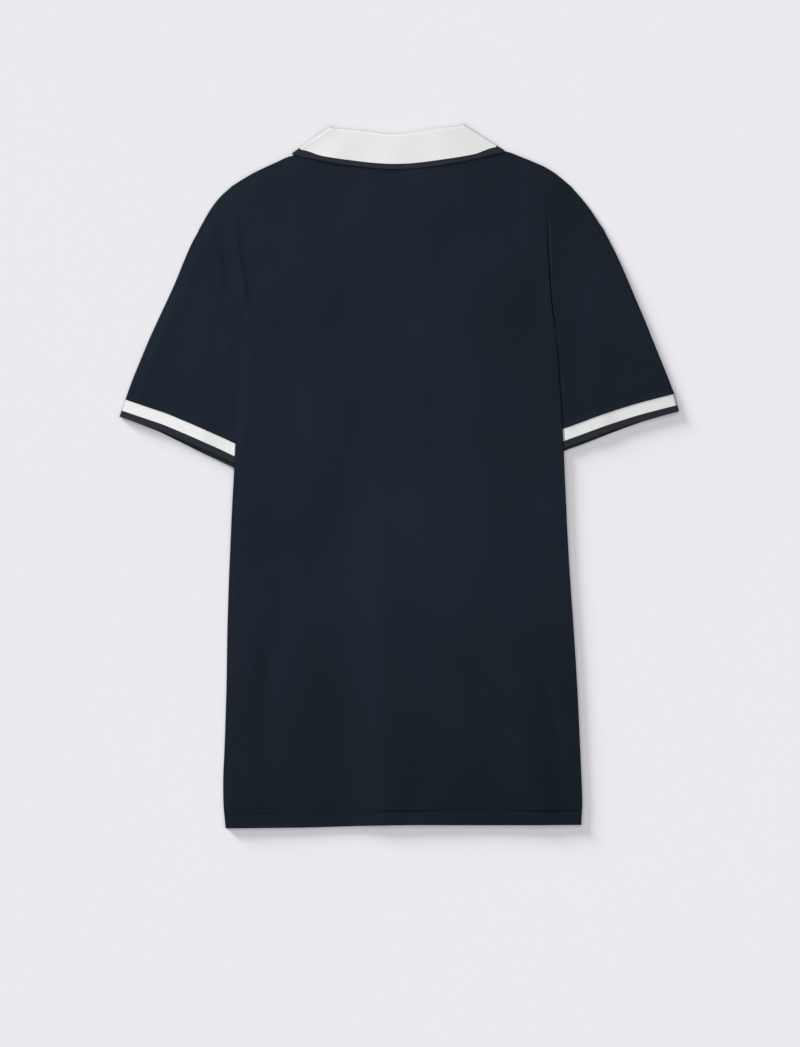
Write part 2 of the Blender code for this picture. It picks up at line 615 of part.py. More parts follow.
def button(name, y, mat):
    """A round button with a raised rim, whose face is on the table."""
    rounded = BUTTON_RADIUS - BUTTON_ROUND
    inside = BUTTON_RADIUS - BUTTON_RIM
    profile = [(0, BUTTON_HEIGHT), (rounded, BUTTON_HEIGHT), (BUTTON_RADIUS, BUTTON_HEIGHT - BUTTON_ROUND),
               (BUTTON_RADIUS, BUTTON_ROUND), (rounded, 0), (inside, 0), (inside - BUTTON_DISH, BUTTON_DISH),
               (0, BUTTON_DISH)]
    mesh = bpy.data.meshes.new(name)
    mesh.from_pydata([(r, 0, z) for r, z in profile], [(i, i + 1) for i in range(len(profile) - 1)], [])
    mesh.materials.append(mat)
    obj = bpy.data.objects.new(name, mesh)
    obj.location = (0, y, 0)
    spin = obj.modifiers.new("Turned", "SCREW")
    spin.steps = BUTTON_STEPS
    spin.render_steps = BUTTON_STEPS
    spin.use_merge_vertices = True
    spin.merge_threshold = JOIN
    return obj


def centre_on_origin(collection, name):
    """Hangs the pieces on an empty that puts the middle of the shirt's outline over the origin."""
    bpy.context.view_layer.update()
    depsgraph = bpy.context.evaluated_depsgraph_get()
    corners = []
    for obj in collection.objects:
        shape = obj.evaluated_get(depsgraph)
        corners += [shape.matrix_world @ vertex.co for vertex in shape.data.vertices]
    corners = np.array(corners)
    middle = (corners.min(axis=0) + corners.max(axis=0)) / 2
    seat = bpy.data.objects.new(name, None)
    seat.location = (-middle[0], -middle[1], 0)
    for obj in list(collection.objects):
        obj.parent = seat
    collection.objects.link(seat)


def build():
    """Clears the scene and makes the shirt."""
    for obj in list(bpy.data.objects):
        bpy.data.objects.remove(obj, do_unlink=True)
    collection = bpy.data.collections.new("polo_shirt")
    bpy.context.scene.collection.children.link(collection)
    navy = material("navy_jersey", NAVY, 0.9)
    navy_rib = material("navy_rib", NAVY_RIB, 0.9)
    white_rib = material("white_rib", WHITE, 0.85)
    button_navy = material("button_navy", BUTTON_NAVY, 0.35)
    pieces = [
        front_panel(navy),
        back_panel(navy),
        collar_piece("collar", None, TIPPING + GAP / 2, white_rib),
        collar_piece("collar_tipping", TIPPING - GAP / 2, 0, navy_rib),
        placket_strip("placket_outer", 0, navy),
        placket_strip("placket_inner", 1, navy),
    ]
    for side in ("left", "right"):
        pieces.append(sleeve(side, navy))
        pieces.append(cuff_band("cuff_" + side, side, GAP / 2, CUFF_WHITE, white_rib))
        tip_from = CUFF_WHITE + GAP
        pieces.append(cuff_band("cuff_tipping_" + side, side, tip_from, tip_from + CUFF_TIP, navy_rib))
    for number, y in enumerate(BUTTON_ROWS, start=1):
        pieces.append(button(f"button_{number}", y, button_navy))
    for obj in pieces:
        collection.objects.link(obj)
    centre_on_origin(collection, "polo_shirt")


build()
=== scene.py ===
import math

import bmesh
import bpy
import numpy as np
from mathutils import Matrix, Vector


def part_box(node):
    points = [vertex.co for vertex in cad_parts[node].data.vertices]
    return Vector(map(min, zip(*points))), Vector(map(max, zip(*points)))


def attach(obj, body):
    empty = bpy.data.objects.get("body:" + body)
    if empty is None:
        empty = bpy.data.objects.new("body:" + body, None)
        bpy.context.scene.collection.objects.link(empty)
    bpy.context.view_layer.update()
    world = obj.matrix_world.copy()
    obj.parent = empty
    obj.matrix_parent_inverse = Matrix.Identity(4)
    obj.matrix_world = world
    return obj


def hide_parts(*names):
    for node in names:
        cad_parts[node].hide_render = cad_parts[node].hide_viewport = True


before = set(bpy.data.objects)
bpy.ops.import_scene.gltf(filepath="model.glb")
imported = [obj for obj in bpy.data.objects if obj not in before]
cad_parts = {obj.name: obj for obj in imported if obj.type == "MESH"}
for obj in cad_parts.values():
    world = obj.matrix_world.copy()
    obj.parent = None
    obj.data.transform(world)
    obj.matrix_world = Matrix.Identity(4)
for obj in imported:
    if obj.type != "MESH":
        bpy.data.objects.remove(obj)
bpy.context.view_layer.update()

mm = 0.001
outward = {"left": -1, "right": 1}

# The shirt's levels and clearances. The layers lie on each other from the table up.
layers = {
    "wall": 1.1 * mm,  # the solid cloth, whose middles every piece here keeps to
    "cloth": 0.85 * mm,  # the jersey as it is worn
    "rib": 1.1 * mm,  # the knitted collar
    "tip": 0.7 * mm,  # its tipping
    "solidRib": 1.3 * mm,
    "step": 1.5 * mm,  # from one layer's middle to the next
    "gap": 0.3 * mm,  # at a seam
    "join": 0.01 * mm,  # points as close as this are made one
    "edge": 0.22 * mm,  # how far inside an edge its second line of points lies
    "edgeShare": 0.4,  # of a cell, the most that this takes
}
baseLevel = layers["wall"] / 2
foldReach = layers["step"] / 2 + layers["wall"] / 2

# Where the middle of the photograph's own grid lies in the frame: the top button is on it, at this height.
topButton = 262 * mm
buttonLow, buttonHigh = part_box("button_1")
seat = np.array([(buttonLow[0] + buttonHigh[0]) / 2, (buttonLow[1] + buttonHigh[1]) / 2 - topButton, 0])


# A table's columns by name, in metres.
def table(names, rows):
    return dict(zip(names.split(), np.array(rows, float).T * mm))


# Ease from 0 to 1 with level ends: 3t^2 - 2t^3, with t held between 0 and 1.
def ease(t):
    t = np.clip(t, 0, 1)
    return t * t * (3 - 2 * t)


# The same over a run that begins at a place: ease((at - start) / run). A run below 0 goes the other way.
def progress(at, start, run):
    return ease((at - start) / run)


# The same from 0 at the first of two places to 1 at the second.
def between(at, ends):
    return progress(at, ends[0], ends[1] - ends[0])


# A rounded bump: 1 in the middle, falling as the square of a cosine to 0 at one half width on either side.
def bump(off, half):
    return np.cos(np.clip(np.abs(off) / half, 0, 1) * math.pi / 2) ** 2


# A smooth curve through a table: on each stretch a cubic that takes the table's own slopes at both ends.
def through(at, xs, ys):
    at = np.asarray(at, float)
    slopes = np.gradient(ys, xs)
    i = np.clip(np.searchsorted(xs, at) - 1, 0, len(xs) - 2)
    step = xs[i + 1] - xs[i]
    t = np.clip((at - xs[i]) / step, 0, 1)
    ends = (2 * t**3 - 3 * t**2 + 1) * ys[i] + (3 * t**2 - 2 * t**3) * ys[i + 1]
    return ends + ((t**3 - 2 * t**2 + t) * slopes[i] + (t**3 - t**2) * slopes[i + 1]) * step


# Numbers between fixed ones, a count of steps for each stretch, each stretch's end included once.
def spaced(stops, counts):
    parts = [np.linspace(a, b, n + 1)[1:] for a, b, n in zip(stops[:-1], stops[1:], counts)]
    return np.concatenate([stops[:1], *parts])


# The angles of the points inside a half turn.
def halfTurn(cells):
    return np.linspace(0, math.pi, cells + 1)[1:-1]


# The ends of cells that grow narrower towards 1: the sines of even angles.
def narrowing(cells):
    return np.sin(np.linspace(0, 1, cells + 1)[1:] * math.pi / 2)


# An object of the scene, at the origin, that holds a mesh, a lamp or a camera.
def addObject(name, data):
    piece = bpy.data.objects.new(name, data)
    bpy.context.scene.collection.objects.link(piece)
    return piece


# What the frame is told of a piece: its body, and the node that it stands for, which is hidden.
def tellFrame(piece, node=None):
    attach(piece, "root")
    if node:
        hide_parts(node)


# The body's outline and lines, as on the solids.
body = {
    "foldTop": 167 * mm,  # where the folded side ends and the armhole starts
    "foldEnd": 6 * mm,  # the side is folded in from here down, and by its full width from the next
    "foldFull": -45 * mm,
    "stub": 6 * mm,
    "halfCut": 248 * mm,
    "creaseFrom": 160 * mm,
    "creaseTop": 271 * mm,
    "stepEnd": 215 * mm,
    "hem": -372 * mm,
    "hemEase": -215 * mm,
    "topRow": 309.4 * mm,
    "bendFrom": 134 * mm,
    "pressed": (-30 * mm, -60 * mm),  # from where the left side lies pressed, and over what run
    "foldEdge": table("y left right", [
        (-372, -185.3, 192.8), (-355, -187.3, 193.9), (-323, -188.4, 193.2), (-291, -187.1, 191.8),
        (-227, -185.0, 188.8), (-163, -183.9, 184.9), (-100, -181.9, 180.5), (-52, -179.7, 177.8),
        (7, -176.8, 175.3), (58, -174.0, 173.1), (103, -170.2, 169.9), (135, -167.5, 167.7),
        (167, -164.5, 164.4)]),
    "armhole": table("y left right", [
        (167, -164.5, 165.0), (177, -168.5, 169.4), (190, -172.5, 172.5), (205, -178.0, 178.0),
        (222, -185.0, 184.5), (238, -191.5, 190.5), (251, -203.5, 203.0), (262, -214.5, 217.5)]),
    "shoulderEnd": table("y left right", [
        (262, -214.5, 217.5), (271, -209.6, 211.2), (284, -202.0, 202.7), (297, -192.1, 192.5),
        (309.4, -178.7, 181.4)]),
    "shoulderLeft": table("x y", [
        (-178.7, 309.4), (-157.7, 322.2), (-144.7, 328.6), (-131, 334.9), (-117.8, 340.8), (-109, 342.6),
        (-98, 347), (-87, 353)]),
    "shoulderRight": table("x y", [
        (82, 355), (97, 350), (107, 347.6), (118, 344.6), (126.3, 341.3), (141.8, 334.9), (155.6, 328.6),
        (165.8, 322.2), (181.4, 309.4)]),
    "backNeck": table("x y", [
        (-87, 353), (-70, 345.2), (-50, 338.5), (-25, 334.3), (-3, 333), (20, 334.6), (45, 339.5),
        (65, 346.5), (82, 355)]),
    "frontNeck": table("x y", [
        (-87, 353), (-84, 338), (-77, 321), (-60, 298), (-36, 282.5), (-15.2, 275.5), (0, 274.3),
        (15.2, 275.5), (36, 282.5), (58.5, 299), (73.5, 322), (79.5, 339), (82, 355)]),
    "hemEdge": table("x y", [(-186, -373.7), (-100, -372.8), (-10, -370.4), (100, -370.3), (193, -370.0)]),
    # The seams hold the cloth up outside the collar: how high, and from where over what run, across and
    # along.
    "loft": {"height": 1.1 * mm, "across": (118 * mm, 34 * mm), "along": (205 * mm, 48 * mm)},
    # The cloth falls to the outline at the left: how much, how far inside it, and from where over what run
    # across.
    "drop": {"height": 0.85 * mm, "reach": 14 * mm, "across": (-125 * mm, 45 * mm), "slant": 0.9},
    "sleeveEdge": table("y left right", [
        (80, -293.2, 295.0), (102.8, -285.1, 286.5), (124.1, -276.4, 277.9), (145.4, -267.6, 269.2),
        (166.7, -257.9, 260.7), (188, -248.0, 251.5), (209.3, -238.4, 242.6), (230.6, -229.8, 233.3),
        (251.9, -220.2, 222.7), (262, -214.5, 217.5)]),
    "neckLine": table("y left right", [
        (-372, -105, 108), (-100, -100, 100), (134, -100, 100), (262, -91, 88), (309.4, -87, 82)]),
    "crease": table("y left right", [
        (150, -166.1, 164.8), (160, -163, 163.8), (167, -161.5, 162.8), (188, -161, 160.1),
        (205, -160.5, 158.9), (231, -158.5, 156.9), (262, -156, 154.8), (309.4, -150, 141.4)]),
}


# A line of the body at some places: one column of its table over the first column.
def bodyLine(key, at, column):
    rows = body[key]
    return through(at, next(iter(rows.values())), rows[column])


# The body's outer edge at the heights y: the folded side, then the armhole seam, then the rounded shoulder.
def edgeAt(y, side):
    folded, armhole, shoulder = (bodyLine(key, y, side) for key in ("foldEdge", "armhole", "shoulderEnd"))
    return np.where(y < body["foldTop"], folded, np.where(y < body["armhole"]["y"][-1], armhole, shoulder))


# The upper edge of a panel over x: the left shoulder, the neck and the right shoulder.
def upperEdge(x, neck):
    left, middle, right = (bodyLine(key, x, "y") for key in ("shoulderLeft", neck, "shoulderRight"))
    return np.where(x < body[neck]["x"][0], left, np.where(x > body[neck]["x"][-1], right, middle))


# Where a row of the grid runs: level over most of the body, bent by the square of its height towards the
# shoulder and neck edge, and eased on to the hem.
def rowHeight(x, y, neck="backNeck"):
    left, right = edgeAt(y, "left"), edgeAt(y, "right")
    part = (x - left) / (right - left)
    topX = edgeAt(body["topRow"], "left") * (1 - part) + edgeAt(body["topRow"], "right") * part
    bend = np.maximum(0, (y - body["bendFrom"]) / (body["topRow"] - body["bendFrom"])) ** 2
    low = between(y, (body["hemEase"], body["hem"]))
    hem = bodyLine("hemEdge", x, "y") - body["hem"]
    return y + bend * (upperEdge(topX, neck) - body["topRow"]) + low * hem


# How wide the side is folded in: the rest of the half cut where it is folded in fully, and a stub above.
def foldWidth(y, edge, stub):
    unfolded = between(y, (body["foldFull"], body["foldEnd"]))
    return stub + (body["halfCut"] - np.abs(edge) - stub) * (1 - unfolded)


# How far the layers of a side lie pressed flat on each other, from 0 to 1: those of the left side, below the
# sleeve.
def pressedFlat(y, side):
    return progress(y, *body["pressed"]) * (side == "left")


# Leave out the cells of some rows, up to a count of them at both sides.
def cutSides(keep, rows, cells):
    keep[rows, :cells] = keep[rows, -cells:] = False


# What lies underneath raises the panels: the collar's leaf and the placket with its buttons.
lifts = {
    "leafFront": 1.6 * mm,
    "leafBack": 2.7 * mm,
    "frontMargin": 18 * mm,
    "backMargin": 24 * mm,
    "collarFade": (44 * mm, 90 * mm),
    "buttons": 2.3 * mm,
    "placketHalf": 14.9 * mm,
    "placketTop": 274 * mm,
    "placketMargin": (4 * mm, 2 * mm),
    "placketFade": (43 * mm, 36 * mm),
    "backFade": (90 * mm, 150 * mm),
    "hem": 1.4 * mm,
    "hemReach": 75 * mm,
    "meeting": 0.5 * mm,  # how softly the two lifts meet
    "collarArea": table("x y", [
        (-73, 370), (-112, 342), (-107, 310), (-94, 277), (-71, 249), (-42, 224), (42, 224), (70, 249),
        (92, 278), (103, 312), (107, 346), (66, 372)]),
}


# 1 over the collar's leaf and a margin round it, falling smoothly to 0: the leaf's outline is convex, so the
# distance outside it is the largest of the distances from its sides.
def overCollar(x, y, margin, fade):
    corners = np.stack([lifts["collarArea"]["x"], lifts["collarArea"]["y"]], axis=-1)
    sides = np.roll(corners, -1, axis=0) - corners
    normals = np.stack([-sides[:, 1], sides[:, 0]], axis=-1) / np.linalg.norm(sides, axis=1)[:, None]
    outside = np.full(np.shape(x), -1.0)
    for corner, normal in zip(corners, normals):
        outside = np.maximum(outside, -((x - corner[0]) * normal[0] + (y - corner[1]) * normal[1]))
    return ease(1 - (outside - margin) / fade)


# 1 over the placket, falling smoothly to 0 at its sides and ends over the two lengths of the fade.
def overPlacket(x, y, fade):
    notch = lifts["placketHalf"] + layers["gap"]
    across = ease(1 - (np.abs(x) - notch - lifts["placketMargin"][0]) / fade[0])
    below = ease(1 - (body["bendFrom"] - lifts["placketMargin"][1] - y) / fade[1])
    above = ease(1 - (y - lifts["placketTop"] - lifts["placketMargin"][1]) / fade[1])
    return across * below * above


def frontLift(x, y):
    collarLift = lifts["leafFront"] * overCollar(x, y, lifts["frontMargin"], lifts["collarFade"][0])
    return np.maximum(collarLift, lifts["buttons"] * overPlacket(x, y, lifts["placketFade"]))


# The larger of the collar's and the placket's lift, rounded where they are equal: half their sum and half the
# root of their squared difference and a small square.
def backLift(x, y):
    collarLift = lifts["leafBack"] * overCollar(x, y, lifts["backMargin"], lifts["collarFade"][1])
    placket = (lifts["buttons"] + layers["step"]) * overPlacket(x, y, lifts["backFade"])
    soft = lifts["meeting"]
    return (collarLift + placket + np.sqrt((collarLift - placket) ** 2 + soft ** 2) - soft) / 2


# The turned-up hems raise the back's middle, where the folded sides don't already.
def hemLift(y, raised):
    return lifts["hem"] * (1 - raised) * ease(1 - (y - body["hem"]) / lifts["hemReach"])


print("materials")


# One node of a material's tree, with its sockets set by name and its inputs linked from other nodes' outputs.
def addNode(tree, kind, values=None, links=None, **options):
    node = tree.nodes.new(kind)
    for key, value in options.items():
        setattr(node, key, value)
    for key, value in (values or {}).items():
        node.inputs[key].default_value = value
    for key, socket in (links or {}).items():
        tree.links.new(socket, node.inputs[key])
    return node


# A number worked out in the tree: one math node on one or two sockets or numbers.
def mathNode(tree, operation, first, second=None, third=None):
    node = tree.nodes.new("ShaderNodeMath")
    node.operation = operation
    for slot, value in enumerate((first, second, third)):
        if value is None:
            continue
        if isinstance(value, bpy.types.NodeSocket):
            tree.links.new(value, node.inputs[slot])
        else:
            node.inputs[slot].default_value = value
    return node.outputs["Value"]


# The product of a colour and a number.
def scaledColour(tree, colour, kept):
    scaled = addNode(tree, "ShaderNodeVectorMath", links={0: colour, 1: kept}, operation="MULTIPLY")
    return scaled.outputs["Vector"]


# The coordinates of a place or a direction.
def parted(tree, vector):
    return addNode(tree, "ShaderNodeSeparateXYZ", links={"Vector": vector}).outputs


# How many layers, each finer than the last, each noise adds up.
noiseDetail = {"clouds": 4.0, "yarn": 2.0, "grain": 3.0, "floor": 2.0}


def noise(tree, place, scale, detail):
    uneven = addNode(tree, "ShaderNodeTexNoise", {"Scale": scale, "Detail": detail}, {"Vector": place})
    return uneven.outputs["Fac"]


# A colour from a look's shade to its colour, by a number from 0 to 1 that the look's spread widens.
def shadeRamp(tree, share, look):
    ramp = addNode(tree, "ShaderNodeValToRGB", links={"Fac": share})
    for stop, at, key in zip(ramp.color_ramp.elements, look["spread"], ("shade", "colour")):
        stop.position = at
        stop.color = (*look[key], 1)
    return ramp.outputs["Color"]


# A new material, its tree, its shader and its places, with the look's plain values on the shader's sockets.
def newFinish(name, look):
    mat = bpy.data.materials.new(name)
    mat.use_nodes = True
    shader = mat.node_tree.nodes["Principled BSDF"]
    sockets = {"rough": "Roughness", "specular": "Specular IOR Level", "sheen": "Sheen Weight",
               "sheenRough": "Sheen Roughness", "coat": "Coat Weight"}
    for key, socket in sockets.items():
        if key in look:
            shader.inputs[socket].default_value = look[key]
    return mat, mat.node_tree, shader, addNode(mat.node_tree, "ShaderNodeTexCoord").outputs


# A shader's colour, and its normal turned by a height.
def linkFinish(tree, shader, colour, height, look):
    values = {"Strength": look["bump"], "Distance": look["depth"]}
    raised = addNode(tree, "ShaderNodeBump", values, {"Height": height})
    tree.links.new(colour, shader.inputs["Base Color"])
    tree.links.new(raised.outputs["Normal"], shader.inputs["Normal"])


# Columns of knitting: how far each place is from the nearest groove between two, from 0 to 0.5 of a column,
# and the rounded height over that, which is twice the distance to a power.
def knitColumns(tree, u, look):
    column = mathNode(tree, "PINGPONG", mathNode(tree, "DIVIDE", u, look["wale"]), 0.5)
    return column, mathNode(tree, "POWER", mathNode(tree, "MULTIPLY", column, 2.0), look["rounding"])


# Jersey: columns of loops whose two legs slant together. The height is the rounded column times a wave down
# the column that the distance from the groove shifts.
def jerseyHeight(tree, u, v, look):
    column, rounded = knitColumns(tree, u, look)
    turns = mathNode(tree, "ADD", mathNode(tree, "DIVIDE", v, look["course"]), column)
    leg = mathNode(tree, "SINE", mathNode(tree, "MULTIPLY", turns, 2 * math.pi))
    return mathNode(tree, "MULTIPLY", rounded, mathNode(tree, "MULTIPLY_ADD", leg, *look["rows"]))


# Rib: rounded columns that stand well above the grooves between them, with faint rows across.
def ribHeight(tree, u, v, look):
    rounded = knitColumns(tree, u, look)[1]
    row = mathNode(tree, "SINE", mathNode(tree, "MULTIPLY", v, 2 * math.pi / look["course"]))
    return mathNode(tree, "MULTIPLY", rounded, mathNode(tree, "MULTIPLY_ADD", row, *look["rows"]))


# A colour times 1 - share * t, where t runs from 0 to 1 between two places, square to the line between them.
# This paints a falloff of the light into the colour: painted shade, darker towards the second place.
def paintedFalloff(tree, place, colour, start, end, share):
    (x0, y0), (x1, y1) = start, end
    squared = (x1 - x0) ** 2 + (y1 - y0) ** 2
    split = parted(tree, place)
    across = mathNode(tree, "MULTIPLY_ADD", split["X"], (x1 - x0) / squared,
                      -(x0 * (x1 - x0) + y0 * (y1 - y0)) / squared)
    along = mathNode(tree, "MULTIPLY_ADD", split["Y"], (y1 - y0) / squared, across)
    along.node.use_clamp = True
    return scaledColour(tree, colour, mathNode(tree, "MULTIPLY_ADD", along, -share, 1.0))


# Painted shade: a colour that loses a share where the surface turns away from level, so that steep faces
# are darkened: the share times (1 - |z of the normal|) to a power.
def paintTiltShade(tree, colour, share, power):
    level = parted(tree, addNode(tree, "ShaderNodeNewGeometry").outputs["Normal"])["Z"]
    turned = mathNode(tree, "SUBTRACT", 1.0, mathNode(tree, "ABSOLUTE", level))
    turned.node.use_clamp = True
    lost = mathNode(tree, "POWER", turned, power)
    return scaledColour(tree, colour, mathNode(tree, "MULTIPLY_ADD", lost, -share, 1.0))


# A knitted finish. Its colour runs from the shade to the colour by large clouds, by the yarn's own unevenness
# and by the loops' height, and the loops give it bump. The piece's own map is in metres.
def knitFinish(name, look):
    mat, tree, shader, places = newFinish(name, look)
    split = parted(tree, places["UV"])
    height = look["pattern"](tree, split["X"], split["Y"], look)
    clouds = noise(tree, places["Object"], 1 / look["clouds"], noiseDetail["clouds"])
    yarn = noise(tree, places["Object"], 1 / look["yarn"], noiseDetail["yarn"])
    mixed = mathNode(tree, "MULTIPLY_ADD", clouds, look["cloudShare"],
                     mathNode(tree, "MULTIPLY", yarn, look["yarnShare"]))
    # The loops' height darkens the grooves between them: painted shade.
    mixed = mathNode(tree, "MULTIPLY_ADD", height, 1 - look["cloudShare"] - look["yarnShare"], mixed)
    colour = shadeRamp(tree, mixed, look)
    # The falls paint the light's falloff across the piece into its colour: painted shade.
    for fall in look["falls"]:
        colour = paintedFalloff(tree, places["Object"], colour, *fall)
    # Painted shade on faces turned steeply from level.
    colour = paintTiltShade(tree, colour, *look["paintedTiltShade"])
    linkFinish(tree, shader, colour, mathNode(tree, "MULTIPLY_ADD", yarn, look["fuzz"], height), look)
    shader.inputs["Sheen Tint"].default_value = (*look["sheenTint"], 1)
    return mat


# The looks: the columns' and rows' lengths, the two tones and how they mix, the shine, the falls, each a
# painted falloff of light deepening the tone evenly from one place to another by a share, and painted shade
# on steep faces.
navyJersey = knitFinish("navyJersey", {
    "pattern": jerseyHeight, "wale": 0.95 * mm, "course": 0.75 * mm, "rounding": 0.6, "rows": (0.25, 0.75),
    "colour": (0.0124, 0.0189, 0.0291), "shade": (0.0077, 0.0118, 0.0183), "spread": (0.2, 0.8),
    "clouds": 110 * mm, "cloudShare": 0.45, "yarn": 1.7 * mm, "yarnShare": 0.3,
    "fuzz": 0.5, "bump": 0.35, "depth": 0.12 * mm, "rough": 0.95, "specular": 0.07,
    "sheen": 0.03, "sheenRough": 0.5, "sheenTint": (0.5, 0.65, 0.85),
    # Painted light falloff: the cloth darkens towards the right and towards the hem.
    "falls": [((0.02, 0.0), (0.17, 0.0), 0.16), ((0.0, -0.12), (0.0, -0.36), 0.26)],
    # Painted shade: faces turned steeply from level are darkened.
    "paintedTiltShade": (0.85, 1.5)})
navyRib = knitFinish("navyRib", {
    "pattern": ribHeight, "wale": 1.5 * mm, "course": 0.9 * mm, "rounding": 0.5, "rows": (0.08, 0.92),
    "colour": (0.028, 0.033, 0.041), "shade": (0.014, 0.0175, 0.0235), "spread": (0.2, 0.8),
    "clouds": 40 * mm, "cloudShare": 0.3, "yarn": 1.5 * mm, "yarnShare": 0.3,
    "fuzz": 0.4, "bump": 0.5, "depth": 0.3 * mm, "rough": 0.9, "specular": 0.1,
    "sheen": 0.04, "sheenRough": 0.5, "sheenTint": (0.6, 0.68, 0.8),
    # Painted light falloff: the tipping darkens towards the right.
    "falls": [((-0.30, 0.0), (0.30, 0.0), 0.15)],
    # Painted shade: faces turned steeply from level are darkened.
    "paintedTiltShade": (0.2, 0.6)})
whiteRib = knitFinish("whiteRib", {
    "pattern": ribHeight, "wale": 1.5 * mm, "course": 0.9 * mm, "rounding": 0.5, "rows": (0.08, 0.92),
    "colour": (0.83, 0.832, 0.825), "shade": (0.71, 0.715, 0.715), "spread": (0.15, 0.7),
    "clouds": 30 * mm, "cloudShare": 0.25, "yarn": 1.4 * mm, "yarnShare": 0.25,
    "fuzz": 0.4, "bump": 0.4, "depth": 0.25 * mm, "rough": 0.85, "specular": 0.2,
    "sheen": 0.03, "sheenRough": 0.5, "sheenTint": (1.0, 1.0, 1.0),
    # Painted shade: the white darkens from the middle towards the right, over the collar's right end and the
    # right cuff.
    "falls": [((0.0, 0.0), (0.28, 0.0), 0.155)],
    # Painted shade: faces turned steeply from level, as at the collar's roll and ends, are darkened strongly.
    "paintedTiltShade": (0.96, 0.45)})


# A smooth finish for thread and buttons: a colour with fine mottling, which gives it its bump too.
def plainFinish(name, look):
    mat, tree, shader, places = newFinish(name, look)
    grain = noise(tree, places["Object"], 1 / look["grain"], noiseDetail["grain"])
    linkFinish(tree, shader, shadeRamp(tree, grain, look), grain, look)
    return mat


navyThread = plainFinish("navyThread", {
    "colour": (0.011, 0.0145, 0.022), "shade": (0.006, 0.008, 0.013), "spread": (0.3, 0.7), "grain": 0.5 * mm,
    "bump": 0.5, "depth": 0.1 * mm, "rough": 0.75, "specular": 0.3, "coat": 0.0})
buttonResin = plainFinish("buttonResin", {
    "colour": (0.020, 0.025, 0.036), "shade": (0.012, 0.016, 0.025), "spread": (0.3, 0.7), "grain": 3 * mm,
    "bump": 0.05, "depth": 0.05 * mm, "rough": 0.32, "specular": 0.5, "coat": 0.25})

print("meshes")


# A grid with one more line of points close beside each of its two outer ones, so that the shading of the
# edges stays narrow: each new point is a little way along the first cell.
def edged(points, keep, axis):
    points, keep = np.moveaxis(points, axis, 0), np.moveaxis(keep, axis, 0)
    beside = []
    for outer, inner in ((points[0], points[1]), (points[-1], points[-2])):
        length = np.maximum(np.linalg.norm(inner - outer, axis=-1, keepdims=True), 1e-9)
        beside.append(outer + (inner - outer) * np.minimum(layers["edgeShare"], layers["edge"] / length))
    points = np.concatenate([points[:1], beside[0][None], points[1:-1], beside[1][None], points[-1:]])
    keep = np.concatenate([keep[:1], keep, keep[-1:]])
    return np.moveaxis(points, 0, axis), np.moveaxis(keep, 0, axis)


# A mesh from a grid of points in rows and columns, moved from the photograph's grid into the frame. A ring
# closes its rows on themselves, `keep` says which cells are cloth, and points in one place are joined. Its
# map holds how far each point is along its row and its column, in metres, or the other way round for knitting
# that runs lengthwise.
def clothMesh(name, points, mat, thickness, ring=False, keep=None, lengthwise=False):
    rows, columns = points.shape[:2]
    if keep is None:
        keep = np.ones((rows - 1, columns - 1 + ring), bool)
    points, keep = edged(points, keep, 0)
    if not ring:
        points, keep = edged(points, keep, 1)
    rows, columns = points.shape[:2]
    index = np.arange(rows * columns).reshape(rows, columns)
    if ring:
        index = np.concatenate([index, index[:, :1]], axis=1)
    closed = points.reshape(-1, 3)[index]
    u = np.cumsum(np.linalg.norm(np.diff(closed, axis=1, prepend=closed[:, :1]), axis=2), axis=1)
    v = np.cumsum(np.linalg.norm(np.diff(closed, axis=0, prepend=closed[:1]), axis=2), axis=0)
    u -= u[:, [u.shape[1] // 2]]
    flat = np.stack([v.mean(axis=1, keepdims=True) + 0 * u, u] if lengthwise else [u, v], axis=-1)
    cells = np.stack([index[:-1, :-1], index[:-1, 1:], index[1:, 1:], index[1:, :-1]], axis=-1)
    corners = np.stack([flat[:-1, :-1], flat[:-1, 1:], flat[1:, 1:], flat[1:, :-1]], axis=2)
    used, faces = np.unique(cells[keep], return_inverse=True)
    mesh = bpy.data.meshes.new(name)
    mesh.from_pydata((points.reshape(-1, 3)[used] + seat).tolist(), [], faces.reshape(-1, 4).tolist())
    mesh.uv_layers.new(name="cloth").data.foreach_set("uv", corners[keep].ravel())
    joined = bmesh.new()
    joined.from_mesh(mesh)
    bmesh.ops.remove_doubles(joined, verts=joined.verts, dist=layers["join"])
    joined.to_mesh(mesh)
    joined.free()
    mesh.shade_smooth()
    mesh.materials.append(mat)
    piece = addObject(name, mesh)
    thicken = piece.modifiers.new("thickness", "SOLIDIFY")
    thicken.thickness = thickness
    thicken.offset = 0
    thicken.use_even_offset = True
    return piece


# How far along the line from one place to another a point is, from 0 to 1, and how far to the right of it.
def besideLine(x, y, x0, y0, x1, y1):
    length = math.hypot(x1 - x0, y1 - y0)
    alongX, alongY = (x1 - x0) / length, (y1 - y0) / length
    return ((x - x0) * alongX + (y - y0) * alongY) / length, (x - x0) * alongY - (y - y0) * alongX


# How much a crease swells and thins along it, and the share of its length over which each end fades out.
creaseSwell, creaseEnds = 0.22, 0.22


# Soft uneven creases: each runs from one place to another with a bow, its middle raised or sunk by the
# height. Its section is a rounded bump with its right half drawn in by the lean; its height swells and thins
# along it, and it fades out at both ends.
def creaseHeight(x, y, rows):
    total = np.zeros(np.broadcast(x, y).shape)
    for x0, y0, x1, y1, bow, half, lean, height, beats in zip(*rows.values()):
        at, off = besideLine(x, y, x0, y0, x1, y1)
        off = off - bow * np.sin(np.clip(at, 0, 1) * math.pi)
        width = np.where(off * np.sign(y1 - y0) > 0, half * (1 - lean / mm), half)
        swell = 1 + creaseSwell * np.sin(at * beats / mm * 2 * math.pi + bow / mm)
        total += height * swell * ease(np.minimum(at, 1 - at) / creaseEnds) * bump(off, width)
    return total


